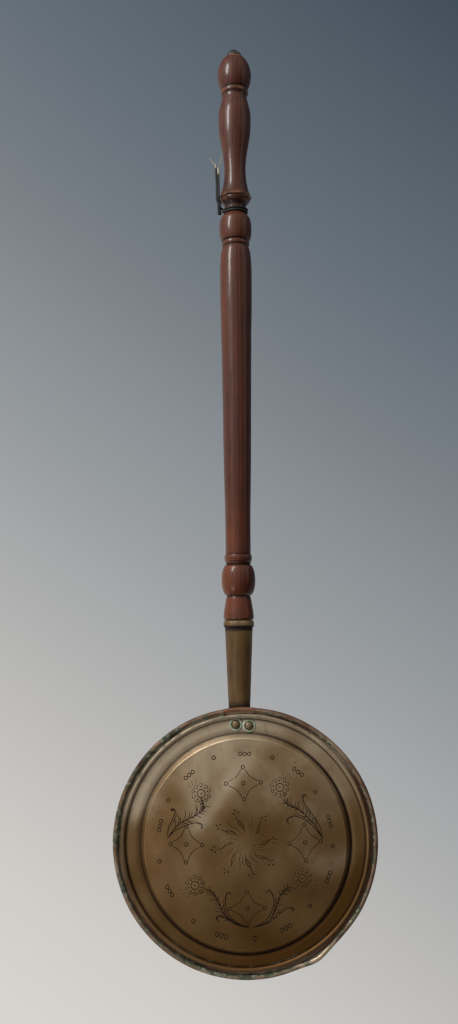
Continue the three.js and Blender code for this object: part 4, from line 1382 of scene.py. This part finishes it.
class GrooveNet:
    """A plane net of triangles that follows engraved cuts, and the depth of the cuts in it."""

    reach = 2.6  # how far a stretch of a cut is looked for from a place
    full_half = 0.35  # half the width from which a cut has its full depth
    clear = 1.9  # how near a stretch of a cut the plain ground's points may come

    def __init__(self, depth: float) -> None:
        """Starts an empty net for cuts of the given depth."""
        self.depth = depth
        self.points: list[Vector] = []
        self.edges: list[tuple[int, int]] = []
        self.cuts: list[tuple[Vector, Vector, float, float]] = []
        self.tree: Optional[kdtree.KDTree] = None

    def line(self, points: Sequence[Vector], closed: bool) -> None:
        """Adds a line that the net's edges must follow."""
        first = len(self.points)
        self.points += points
        count = len(points)
        self.edges += [(first + i, first + i + 1) for i in range(count - 1)]
        if closed:
            self.edges.append((first + count - 1, first))

    def add_stroke(self, stroke: Stroke, shift: Vector) -> None:
        """Adds a cut: its two edges and the line along its bottom."""
        points = [p + shift for p in stroke.points]
        last = len(points) - 1
        left, right = [], []
        for i, p in enumerate(points):
            if stroke.closed:
                before, after = points[i - 1], points[(i + 1) % len(points)]
            else:
                before, after = points[max(i - 1, 0)], points[min(i + 1, last)]
            way = (after - before).normalized()
            side = Vector((-way.y, way.x)) * stroke.half(i)
            left.append(p + side)
            right.append(p - side)
        if stroke.closed:
            self.line(left, True)
            self.line(right, True)
        else:
            self.line(left + right[::-1], True)
        self.line(points, stroke.closed)
        pairs = [(i, i + 1) for i in range(last)] + ([(last, 0)] if stroke.closed else [])
        for i, k in pairs:
            self.cuts.append((points[i], points[k], stroke.half(i), stroke.half(k)))

    def add_pit(self, centre: Vector, radius: float) -> None:
        """Adds a round punched dot."""
        turns = [2 * math.pi * i / 8 for i in range(8)]
        self.line([centre + Vector((math.cos(a), math.sin(a))) * radius for a in turns], True)
        self.points.append(centre)
        self.cuts.append((centre, centre, radius, radius))

    def add_ground(self, radius: float, segments: int, spacing: float = 3.6) -> None:
        """Adds the plain ground between the cuts, out to a rim of the given radius."""
        self.tree = kdtree.KDTree(len(self.cuts))
        for i, (a, b, _, _) in enumerate(self.cuts):
            self.tree.insert(((a.x + b.x) / 2, (a.y + b.y) / 2, 0), i)
        self.tree.balance()
        rings = int(radius / spacing)
        for k in range(rings):
            r = radius * k / rings
            count = max(1, round(2 * math.pi * r / spacing))
            for i in range(count):
                a = 2 * math.pi * (i + 0.5 * (k % 2)) / count
                place = Vector((r * math.cos(a), r * math.sin(a)))
                _, _, distance = self.tree.find((place.x, place.y, 0))
                if distance > self.clear:
                    self.points.append(place)
        turns = [2 * math.pi * i / segments for i in range(segments)]
        self.line([Vector((radius * math.cos(a), radius * math.sin(a))) for a in turns], True)

    def solve(self) -> tuple[list[Vector], list[tuple[int, ...]]]:
        """Works out the net's points and triangles."""
        points, _, faces, *_ = geometry.delaunay_2d_cdt(self.points, self.edges, [], 0, 1e-3)
        return points, faces

    def depth_at(self, place: Vector) -> float:
        """How deep the cuts are at a place."""
        deepest = 0.0
        for _, index, _ in self.tree.find_range((place.x, place.y, 0), self.reach):
            a, b, half_a, half_b = self.cuts[index]
            along = b - a
            t = clamp((place - a).dot(along) / along.length_squared) if along.length_squared else 0.0
            half = half_a + (half_b - half_a) * t
            distance = (place - a - along * t).length
            deepest = max(deepest, self.depth * min(half / self.full_half, 1.0) * (1 - distance / half))
        return deepest


# ------------------------------------------------------------------ bracket and socket


@dataclass
class Socket:
    """The brass socket, the nail that holds the handle in it, and the bracket on the pan's wall."""

    pan: Pan
    wood_end: float = -502.4
    length: float = 111.3
    mouth: float = 16.6
    foot: float = 12.2
    sheet: float = 1.2
    bead_height: float = 8.2
    proud: float = 1.5
    clearance: float = 0.3
    stub: float = 5.5
    spigot: float = 16
    plate: tuple[float, float, float] = (65.6, 34.0, 2.0)  # width, height and thickness
    rivet_step: float = 20
    rivet_turn: float = math.radians(11.25)
    nail_drop: float = 30

    def __post_init__(self) -> None:
        """Works out the heights along the handle."""
        self.top = self.wood_end - self.clearance
        self.bottom = self.top - self.length
        self.stub_top = self.bottom - self.clearance
        self.axis_depth = -self.pan.frame.middle.y

    def radius(self, z: float) -> float:
        """The radius of the tube's outside at a height."""
        return self.foot + (z - self.bottom) * (self.mouth - self.foot) / self.length

    def build(self) -> None:
        """Makes the tube, the nail, the bracket and its rivets."""
        self.build_tube()
        self.build_nail()
        self.build_bracket()

    def build_tube(self) -> None:
        """The tapering tube with a bead round its mouth and a brazed seam down its back."""
        top = self.top - self.clearance
        foot = top - self.bead_height
        rolled = bead(top, foot, self.radius(foot), self.mouth + self.proud, 14)[::-1]
        inner = self.sheet
        outline = [(self.foot, self.bottom), *rolled]
        outline += [(self.mouth - inner / 2, self.top), (self.mouth - inner, self.top)]
        outline += [(self.foot - inner, self.bottom)]
        bm = spun(refined(outline + outline[:1], 5)[:-1], 72, loop=True)
        for v in bm.verts:
            out = Vector((v.co.x, v.co.y, 0)).normalized()
            v.co += out * (0.22 * rough(v.co, 11, 61) + 0.12 * rough(v.co, 5, 62))
            seam = bump(angle_between(math.degrees(math.atan2(v.co.y, v.co.x)), 62), 3)
            if v.co.z < foot:
                v.co += out * 0.25 * seam

        def grime_and_shade(p: Vector) -> float:
            # Painted shade under the mouth's bead, where the tube is also dirty.
            under = 0.85 * bump(p.z - foot, 1.7)
            under = max(under, 0.5 * smooth(p.z, foot - 6, foot - 1) * smooth(p.z, foot + 1, foot))
            low = 0.75 * smooth(p.z, self.bottom + 26, self.bottom + 2)
            return max(under, low, 0.12 + 0.22 * rough(Vector((p.x, p.y, 0.2 * p.z)), 5, 63))

        def worn(p: Vector) -> float:
            # A painted highlight on the upper side of the mouth's bead, broken up by noise, with some
            # rubbing.
            return 0.75 * bump(p.z - (top + foot) / 2 - 1.5, 1.6) * smooth(rough(p, 6, 64), -0.5, 0.3)

        def pale(p: Vector) -> float:
            bead = 0.15 * smooth(p.z, foot - 3, foot + 2)
            # Painted light and shade: paler on the right, away from the lamp, and darker on the left.
            return 0.4 + bead + 0.2 * rough(p, 22, 66) + 0.22 * p.x / self.mouth

        shades = {
            "grime_and_shade": grime_and_shade,
            "worn": worn,
            "verdigris": lambda p: 0.55 * smooth(p.z, self.bottom + 12, self.bottom) + 0.1 * rough(p, 9, 65),
            "pale": pale,
        }
        make_piece("socket_tube", bm, HANDLE_FRAME, Body.PAN, SOCKET_BRASS, ["handle_socket"], shades)

    def build_nail(self) -> None:
        """The hand-made nail that goes through the back of the socket into the tenon."""
        height = self.top - self.nail_drop
        seat = self.radius(height) + self.clearance
        head = [(2.8 * r, seat + 1.4 * h) for r, h in arc(0, 0, 1, 0, math.pi / 2, 6)]
        nail = spun([(0, seat - 12), (1.2, seat - 8.4), (1.2, seat), *head], 20)
        for v in nail.verts:
            v.co += 0.12 * Vector((rough(v.co, 1.5, 71), rough(v.co, 1.5, 72), 0))
        onto = Matrix.Translation((0, 0, height)) @ Matrix.Rotation(-math.pi / 2, 4, "X")
        bmesh.ops.transform(nail, matrix=onto, verts=nail.verts)
        make_piece("socket_nail_forged", nail, HANDLE_FRAME, Body.PAN, IRON, ["socket_nail"])

    def on_wall(self, x: float, depth: float, above: float) -> Vector:
        """A place at a height above the wall's outside, in the pan's frame."""
        radius = self.pan.wall(depth) + above / math.cos(self.pan.lean)
        return Vector((x, depth, math.sqrt(max(radius * radius - x * x, 0))))

    def build_bracket(self) -> None:
        """The curved plate, its stub and spigot, and the four rivets."""
        width, height, thick = self.plate
        bm = bmesh.new()
        bmesh.ops.create_grid(bm, x_segments=28, y_segments=16, size=1.0)
        corner = 8.0
        for v in bm.verts:
            x, y = v.co.x * width / 2, v.co.y * height / 2
            over_x, over_y = abs(x) - (width / 2 - corner), abs(y) - (height / 2 - corner)
            if over_x > 0 and over_y > 0:
                big = max(over_x, over_y)
                shrink = big / math.hypot(over_x, over_y)
                x = math.copysign(width / 2 - corner + over_x * shrink, x)
                y = math.copysign(height / 2 - corner + over_y * shrink, y)
            v.co = self.on_wall(x, y + self.axis_depth, self.clearance + 0.05)
        bmesh.ops.recalc_face_normals(bm, faces=bm.faces)
        skin = list(bm.faces)
        outside = bmesh.ops.extrude_face_region(bm, geom=skin)["geom"]
        lifted = [g for g in outside if isinstance(g, bmesh.types.BMVert)]
        for v in lifted:
            out = Vector((v.co.x, 0, v.co.z)).normalized()
            v.co += (out * math.cos(self.pan.lean) + Vector((0, math.sin(self.pan.lean), 0))) * thick
        bmesh.ops.recalc_face_normals(bm, faces=bm.faces)
        rim = [e for e in bm.edges if e.calc_face_angle(0) > math.radians(60)]
        bmesh.ops.bevel(
            bm,
            geom=rim,
            offset=0.5,
            affect="EDGES",
            segments=2,
            profile=0.5,
            material=-1,
            offset_type="OFFSET",
        )
        stub = self.stub_mesh()
        whole = joined([bm, stub])

        def grime_and_shade(p: Vector) -> float:
            return 0.3 + 0.6 * bump(math.hypot(p.x, p.y - self.axis_depth) - self.foot - 1.5, 2.5)

        shades = {
            "grime_and_shade": grime_and_shade,
            "verdigris": lambda p: 0.42 + 0.3 * rough(p, 9, 81),
            "pale": lambda p: 0.45 + 0.3 * rough(p, 20, 82),
            "worn": lambda p: 0.15,
        }
        make_piece(
            "bracket_plate", whole, self.pan.placing, Body.PAN, SOCKET_BRASS, ["socket_bracket"], shades
        )
        for i, (side, row) in enumerate((s, r) for s in (-1, 1) for r in (-1, 1)):
            self.build_bracket_rivet(i + 1, side, row)

    def stub_mesh(self) -> bmesh.types.BMesh:
        """The stub that the socket stands on and the spigot inside it, in the pan's frame."""
        inside = self.foot - self.sheet - self.clearance
        wall_top = self.stub_top - self.stub
        outline = [(0, wall_top - 1)]
        outline += flow([(self.foot + 3.5, wall_top - 0.6), (self.foot + 1.0, wall_top + 1.6)], 1)
        outline += flow([(self.foot + 1.0, wall_top + 1.6), (self.foot + 0.1, wall_top + 3.4)], 1)[1:]
        outline += [(self.foot, self.stub_top), (inside, self.stub_top)]
        outline += [(inside, self.stub_top + self.spigot), (0, self.stub_top + self.spigot)]
        bm = spun(outline, 48)
        bmesh.ops.transform(bm, matrix=self.pan.frame.of_handle(), verts=bm.verts)
        for v in bm.verts:
            spread = math.hypot(v.co.x, v.co.y - self.axis_depth) > self.foot + 2
            if spread:
                v.co.z = self.on_wall(v.co.x, v.co.y, self.clearance + self.plate[2] - 0.3).z
        return bm

    def build_bracket_rivet(self, number: int, side: int, row: int) -> None:
        """One of the bracket's rivets, its head outside and its clenched tail inside the pan."""
        depth = self.axis_depth + row * self.rivet_step / 2
        lift = self.plate[2] + 2 * self.clearance
        dome = [(4.0 * r, 2.5 * h) for r, h in arc(0, 0, 1, math.pi / 2, 0, 9)]
        under = [(1.8, 0), (1.8, -3.9), (3.0, -3.9), (2.5, -5.0), (0, -5.1)]
        bm = spun(dome + under, 28)
        for v in bm.verts:
            v.co += 0.1 * Vector((rough(v.co, 2, 90 + number), rough(v.co, 2, 95 + number), 0))
        radius = self.pan.wall(depth)
        onto = Matrix.Rotation(side * self.rivet_turn, 4, "Y")
        onto @= Matrix.Translation((0, depth, radius)) @ Matrix.Rotation(-self.pan.lean, 4, "X")
        onto @= Matrix.Translation((0, 0, lift))
        bmesh.ops.transform(bm, matrix=onto, verts=bm.verts)
        shades = {
            "grime_and_shade": lambda p: 0.3,
            "verdigris": lambda p: 0.4 + 0.3 * rough(p, 4, 83),
            "pale": lambda p: 0.5,
            "worn": lambda p: 0.3,
        }
        name = f"bracket_rivet_{number}"
        make_piece(f"{name}_domed", bm, self.pan.placing, Body.PAN, RIVET_BRASS, [name], shades)


# ------------------------------------------------------------------ handle


@dataclass
class Handle:
    """The turned handle and the flattened button on its top. Sizes in millimetres."""

    shaft_top: float = -50.8
    shaft: float = 374.3
    neck: float = 12.8
    crown: float = 193.4
    mouth: float = 16.6
    tenon: float = 81
    button: tuple[float, float, float] = (9.4, 4.6, 9.4)  # radius, top radius and height
    segments: int = 72

    def upper(self) -> Outline:
        """The ball, ring, grip and bead above the tie."""
        middle, radius, height = 169.3, 20.8, 27.9
        start, end = math.asin((self.crown - middle) / height), math.asin((153.2 - middle) / height)
        angles = [start + (end - start) * i / 28 for i in range(29)]
        line = [(radius * math.cos(a), middle + height * math.sin(a)) for a in angles]
        line += [(16.1, 151.6), (15.5, 150.8), *bead(150.3, 144.6, 16.0, 17.0, 9), (15.3, 143.4)]
        line += flow(
            [(15.2, 141), (15.6, 138.4), (16.8, 133.5), (19.1, 124.1), (20.0, 115.2), (19.4, 97.5)]
            + [(17.1, 81.7), (14.6, 67), (13.1, 49.3), (14.1, 32.5), (16.9, 19.5), (19.8, 12.7)],
            70,
        )
        line += [(20.0, 12.1), (19.7, 11.3), (18.1, 10.7), (17.9, 9.9)]
        line += flow([(18.1, 8.9), (17.1, 7.1), (15.0, 5.0), (13.6, 2.9), (self.neck, 0.5)], 14)
        return line

    def middle(self) -> Outline:
        """The second ball, its ring and the long shaft."""
        def along(share: float) -> float:
            return self.shaft_top - self.shaft * share

        line = flow([(self.neck, -8.2), (14.4, -9.4), (15.9, -11.6), (16.5, -12.6)], 8)
        line += bead(-12.8, -42.4, 16.3, 19.6, 24)
        line += [(15.6, -42.8), *bead(-43.4, -49.0, 15.9, 16.8, 9), (15.5, -49.8)]
        line += flow(
            [(16.0, along(0)), (18.0, along(0.02)), (19.2, along(0.07)), (19.2, along(0.175))]
            + [(18.1, along(0.31)), (17.2, along(0.5)), (16.4, along(0.7)), (15.0, along(0.89))]
            + [(14.8, along(1))],
            110,
        )
        return line

    def lower(self) -> Outline:
        """The collar, third ball and vase, then the tenon in the socket."""
        end = self.shaft_top - self.shaft
        line = [(14.7, end - 0.2), (15.8, end - 0.9), (16.1, end - 1.8)]
        line += [(16.1, end - 7.1), (15.8, end - 8.1), (15.0, end - 8.8), (14.8, end - 11.3)]
        line += bead(end - 12.3, end - 48.7, 13.6, 19.9, 30)
        line += flow(
            [(13.7, end - 49.7), (self.mouth - 2.2, end - 51.1), (self.mouth - 1.3, end - 55.5)]
            + [(self.mouth - 0.4, end - 61.4), (self.mouth + 0.7, end - 68.3)]
            + [(self.mouth + 1.2, end - 73.8)],
            24,
        )
        foot = end - 77.3
        line += [(self.mouth + 1.1, foot + 1.6), (self.mouth + 0.4, foot + 0.5), (self.mouth - 0.6, foot)]
        line += [(self.mouth - 1.6, foot), (13.2, foot - self.tenon), (0, foot - self.tenon)]
        return line

    def build(self) -> None:
        """Makes the handle and its button."""
        outline = [(0, self.crown), *self.upper(), *self.middle(), *self.lower()]
        outline = refined(outline, 4)
        bm = spun(outline, self.segments)
        for v in bm.verts:
            out = Vector((v.co.x, v.co.y, 0))
            if out.length > 1:
                out.normalize()
                v.co += out * (0.16 * rough(v.co, 26, 101) + 0.05 * rough(v.co, 5, 102))
        hollows = self.hollows(outline)
        end = self.shaft_top - self.shaft

        def hollow(p: Vector) -> float:
            return hollows[clamp_index(round((self.crown - p.z) * 2), len(hollows) - 1)]

        def grime_and_shade(p: Vector) -> float:
            socket = smooth(p.z, end - 70, end - 77) * 0.5
            # Dark on the neck above the tie and in the turning's hollows: dirty, and in painted shade.
            waist = 0.35 * bump(p.z - 24, 8) + 0.3 * bump(p.z - 1, 7)
            return 0.75 * smooth(hollow(p), 0.1, 1.0) + waist + 0.2 * rough(p, 18, 103) + socket * 0.6

        shades = {
            "grime_and_shade": grime_and_shade,
            "worn": lambda p: 0.85 * smooth(-hollow(p), 0.35, 0.9) * smooth(rough(p, 7, 104), -0.35, 0.35),
            "warm": lambda p: 0.25 + 0.9 * smooth(p.z, end + 90, end - 10) + 0.3 * rough(p, 70, 105),
        }
        make_piece("turned_handle", bm, HANDLE_FRAME, Body.PAN, WOOD, ["handle"], shades)
        self.build_button()

    def hollows(self, outline: Outline) -> list[float]:
        """How deep the turning lies below its surroundings, every half millimetre from the top down."""
        radii = []
        k = 1
        depth = self.crown - min(h for _, h in outline)
        for i in range(int(depth * 2) + 1):
            height = self.crown - i / 2
            while k < len(outline) - 1 and outline[k][1] > height:
                k += 1
            (r0, h0), (r1, h1) = outline[k - 1], outline[k]
            t = clamp((h0 - height) / max(h0 - h1, 1e-6))
            radii.append(r0 + (r1 - r0) * t)
        last = len(radii) - 1
        reach = 7
        found = []
        for i, r in enumerate(radii):
            around = [radii[clamp_index(i + j, last)] for j in (-reach, -reach // 2, reach // 2, reach)]
            found.append(sum(around) / 4 - r)
        return found

    def build_button(self) -> None:
        """The dark button, flattened and a little lopsided."""
        radius, top, height = self.button
        seat = self.crown + 0.3
        outline = [(0, self.crown - 24), (3, self.crown - 21), (3, seat), (radius - 0.4, seat)]
        outline += flow(
            [(radius, seat + 0.5), (radius, seat + height * 0.2), (radius * 0.85, seat + height * 0.5)]
            + [(top, seat + height * 0.85), (top * 0.6, seat + height)],
            16,
        )
        outline += [(0, seat + height * 1.0)]
        bm = spun(outline, 40)
        for v in bm.verts:
            if v.co.z > seat + 1:
                v.co += 0.35 * Vector((rough(v.co, 6, 111), rough(v.co, 6, 112), 0.4 * rough(v.co, 5, 113)))
        make_piece("top_button", bm, HANDLE_FRAME, Body.PAN, BUTTON_METAL, ["handle_button"])


# ------------------------------------------------------------------ wire tie


@dataclass
class WireTie:
    """The covered wire twice round the neck, its twisted knot and its two bared ends."""

    neck: float = 12.8
    clearance: float = 0.3
    radius: float = 1.3
    pitch: float = 3.05
    loops: int = 2
    middle: float = -4.0
    facing: float = math.radians(10)
    knot_radius: float = 2.7
    knot_height: float = 12
    knot_gap: float = 1.3
    tip_radius: float = 0.9
    strand_radius: float = 0.35

    def __post_init__(self) -> None:
        """Works out the winding's radius and the knot's place."""
        self.round = self.neck + self.clearance + self.radius
        self.out = self.round + self.radius + self.knot_gap + self.knot_radius
        self.knot = Vector(
            (-self.out * math.cos(self.facing), -self.out * math.sin(self.facing), self.middle)
        )

    def winding(self) -> list[Vector]:
        """The turns on the neck, each end leaving along its tangent for the knot."""
        short = math.acos(self.round / self.out)
        angle = 2 * (self.loops * math.pi - short)
        end = self.round * math.tan(short) - self.knot_radius - self.clearance
        length = angle * self.round + 2 * end
        count = 150
        line = []
        for i in range(count + 1):
            along = (i / count - 0.5) * length
            turned = clamp(along / self.round, -angle / 2, angle / 2)
            straight = along - turned * self.round
            a = turned + self.facing + (self.loops - 1) * math.pi
            sag = 0.6 * math.sin(a) - 0.5 * smooth(math.cos(a), -0.2, 0.9)
            line.append(
                Vector(
                    (
                        self.round * math.cos(a) - straight * math.sin(a),
                        self.round * math.sin(a) + straight * math.cos(a),
                        self.middle + sag + self.pitch * along / (2 * math.pi * self.round),
                    )
                )
            )
        return line

    def build(self) -> None:
        """Makes the winding, the knot and the two ends."""
        winding = swept(self.winding(), self.radius, 12, 0.9)
        make_piece("tie_turns", winding, HANDLE_FRAME, Body.PAN, COVERING, ["tie_winding"])
        self.build_knot()
        self.build_end(
            Side.LEFT,
            [(0, 0.0, 2.6), (-22.4, -2.4, 9.3), (-22.5, -2.6, 23.6), (-22.9, -2.6, 35.5)]
            + [(-23.6, -2.8, 49.3)],
            5.0,
            [(-26.6, -3.2, 55.8), (-29.0, -3.6, 59.3), (-31.1, -3.8, 61.3)],
        )
        self.build_end(
            Side.RIGHT,
            [(0, 0.0, 2.6), (-20.2, -5.4, 8.7), (-20.2, -6.3, 12.3), (-20.1, -6.2, 21.7), (-20.3, -5.6, 30.5)]
            + [(-20.5, -5.2, 40.4)],
            8.5,
            [(-18.5, -6.4, 54.2), (-16.4, -7.2, 61.1), (-15.0, -7.9, 68.0)],
        )

    def build_knot(self) -> None:
        """The two ends twisted round each other, as pliers leave them."""
        strands = []
        turns, steps = 1.75, 48
        for phase in (0.0, math.pi):
            line = []
            for i in range(steps + 1):
                t = i / steps
                a = 2 * math.pi * turns * t + phase
                reach = self.radius * (1.0 - 0.1 * math.sin(math.pi * t))
                up = (t - 0.5) * (self.knot_height - 1.2)
                line.append(self.knot + Vector((reach * math.cos(a), reach * math.sin(a), up)))
            strands.append(swept(line, self.radius, 12, 0.85))
        make_piece("tie_twist", joined(strands), HANDLE_FRAME, Body.PAN, COVERING, ["tie_knot"])

    def build_end(
        self, side: Side, route: list[tuple[float, float, float]], tip: float, strand: list
    ) -> None:
        """One end of the wire, its bared tip and the fine strand out of it.

        Args:
            side: Which end it is.
            route: Its places after the knot; those with x 0 are counted from its own start.
            tip: The bared length.
            strand: The fine strand's places.
        """
        name = side.name.lower()
        beside = side.value * (self.radius + self.clearance / 2)
        foot = self.knot + Vector((beside, 0, self.knot_height / 2 + self.clearance))
        places = [tuple(foot)]
        places += [tuple(foot + Vector(p)) if p[0] == 0 else p for p in route]
        tail = bend(places, 8)
        end, way = tail[-1], (tail[-1] - tail[-2]).normalized()
        cover = swept(tail, self.radius, 12, 0.92)
        make_piece(f"tie_end_{name}", cover, HANDLE_FRAME, Body.PAN, COVERING, [f"tie_tail_{name}"])
        count = 9
        core = [end + way * (self.clearance * 0.3 + tip * i / count) for i in range(count + 1)]
        for i, p in enumerate(core):
            p += 0.12 * Vector((rough(p, 2, 121), rough(p, 2, 122), 0)) * i / count
        bared = swept(core, self.tip_radius, 10, 0.6)
        make_piece(f"tie_core_{name}", bared, HANDLE_FRAME, Body.PAN, BARED, [f"tie_tip_{name}"])
        start = end + way * (tip + 0.1)
        thread = swept(bend([tuple(start), *strand], 10), self.strand_radius, 8, 0.5)
        make_piece(f"tie_thread_{name}", thread, HANDLE_FRAME, Body.PAN, BARED, [f"tie_strand_{name}"])


# ------------------------------------------------------------------ studio


@dataclass
class Studio:
    """A plain floor, soft lamps, the room's light and the camera. Sizes in metres."""

    floor_height: float = -1.3
    floor_radius: float = 0.5
    focal: float = 1000.0  # pixels of the 458 x 1024 picture
    picture: tuple[int, int] = (458, 1024)
    pitch: float = math.radians(5.634)
    roll: float = math.radians(-0.433)
    eye: tuple[float, float, float] = (-0.01052, -1.1841, -0.49146)

    def build(self) -> None:
        """Makes the whole studio."""
        self.build_camera()
        self.build_floor()
        self.build_lamps()
        self.build_world()
        view = bpy.context.scene.view_settings
        view.view_transform = "Standard"

    def build_camera(self) -> None:
        """The camera, standing where the photographer stood."""
        data = bpy.data.cameras.new("camera")
        data.sensor_width = 36.0
        data.lens = self.focal / max(self.picture) * data.sensor_width
        data.clip_start, data.clip_end = 0.01, 50.0
        ahead = Vector((0, math.cos(self.pitch), math.sin(self.pitch)))
        up = Vector((0, -math.sin(self.pitch), math.cos(self.pitch)))
        right = Vector((1, 0, 0))
        turned_right = right * math.cos(self.roll) + up * math.sin(self.roll)
        turned_up = up * math.cos(self.roll) - right * math.sin(self.roll)
        camera = bpy.data.objects.new("camera", data)
        axes = Matrix((turned_right, turned_up, -ahead)).transposed()
        camera.matrix_world = Matrix.Translation(self.eye) @ axes.to_4x4()
        bpy.context.scene.collection.objects.link(camera)
        bpy.context.scene.camera = camera

    def build_floor(self) -> None:
        """A plain pale round floor under the hanging pan."""
        bm = bmesh.new()
        place = Matrix.Translation((0, 0, self.floor_height))
        bmesh.ops.create_circle(bm, cap_ends=True, segments=96, radius=self.floor_radius, matrix=place)
        mesh = bpy.data.meshes.new("floor")
        bm.to_mesh(mesh)
        bm.free()
        floor = bpy.data.objects.new("floor", mesh)
        bpy.context.scene.collection.objects.link(floor)
        graph = Graph("floor paint")
        paint = {"Base Color": colour(214, 212, 208), "Roughness": 0.9}
        shader = graph.add("ShaderNodeBsdfPrincipled", paint)
        graph.add("ShaderNodeOutputMaterial", {0: shader.outputs[0]})
        mesh.materials.append(graph.material)

    def lamp(self, name: str, eye: tuple, target: tuple, size: tuple[float, float], power: float) -> None:
        """A soft rectangular lamp.

        Args:
            name: Its name.
            eye: Where it stands.
            target: What it points at.
            size: Its width and height.
            power: Its power in watts.
        """
        data = bpy.data.lights.new(name, "AREA")
        data.shape = "RECTANGLE"
        data.size, data.size_y = size
        data.energy = power
        data.color = (1.0, 0.985, 0.96)
        lamp = bpy.data.objects.new(name, data)
        aim = (Vector(target) - Vector(eye)).to_track_quat("-Z", "Y").to_matrix().to_4x4()
        lamp.matrix_world = Matrix.Translation(eye) @ aim
        bpy.context.scene.collection.objects.link(lamp)

    def build_lamps(self) -> None:
        """A soft lamp from above on the left, a weak one from below on the left and one on the right."""
        self.lamp("key", (-1.25, -1.1, 1.0), (0, 0, -0.4), (0.36, 1.1), 34.0)
        self.lamp("low", (-1.1, -1.2, -1.2), (0, 0, -0.7), (0.5, 0.5), 3.0)
        self.lamp("side", (1.5, -0.6, 0.3), (0, 0, -0.4), (0.6, 1.4), 1.5)

    def build_world(self) -> None:
        """The room: a backdrop darker upwards and to the right, and before it a front lighter above left."""
        world = bpy.data.worlds.new("room")
        world.use_nodes = True
        bpy.context.scene.world = world
        graph = Graph.of_world(world)
        way = graph.add("ShaderNodeTexCoord").outputs["Generated"]
        split = graph.add("ShaderNodeSeparateXYZ", {0: way})
        side, ahead, up = split.outputs
        slant = graph.add("ShaderNodeMath", {0: side, 1: 0.65, 2: up}, operation="MULTIPLY_ADD").outputs[0]
        share = graph.add("ShaderNodeMath", {0: slant, 1: 0.87, 2: 0.43}, operation="MULTIPLY_ADD").outputs[0]
        backdrop = graph.add("ShaderNodeValToRGB", {0: share})
        stops = backdrop.color_ramp.elements
        stops[0].position, stops[0].color = 0.01, colour(216, 212, 207)
        stops[1].position, stops[1].color = 1.0, colour(67, 80, 92)
        for position, shade in (
            (0.1, colour(208, 205, 200)),
            (0.32, colour(175, 175, 175)),
            (0.46, colour(152, 156, 159)),
            (0.66, colour(121, 128, 134)),
            (0.79, colour(101, 111, 120)),
        ):
            stops.new(position).color = shade
        backdrop = backdrop.outputs[0]
        lean = graph.add("ShaderNodeMath", {0: side, 1: -0.7, 2: up}, operation="MULTIPLY_ADD").outputs[0]
        front = graph.mix(graph.step(lean, -0.6, 0.3), colour(30, 27, 24), colour(180, 175, 168))
        shown = graph.mix(graph.step(ahead, -0.1, 0.25), front, backdrop)
        background = graph.add("ShaderNodeBackground", {0: shown, 1: 1.0})
        graph.add("ShaderNodeOutputWorld", {0: background.outputs[0]})


# ------------------------------------------------------------------ main


def main() -> None:
    """Builds every sub-assembly."""
    logging.basicConfig(level=logging.INFO, format="%(name)s: %(message)s")
    Studio().build()
    pan = Pan()
    pan.build()
    Lid(pan).build()
    Socket(pan).build()
    Handle().build()
    WireTie().build()
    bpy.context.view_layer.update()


if __name__ == "__main__":
    main()
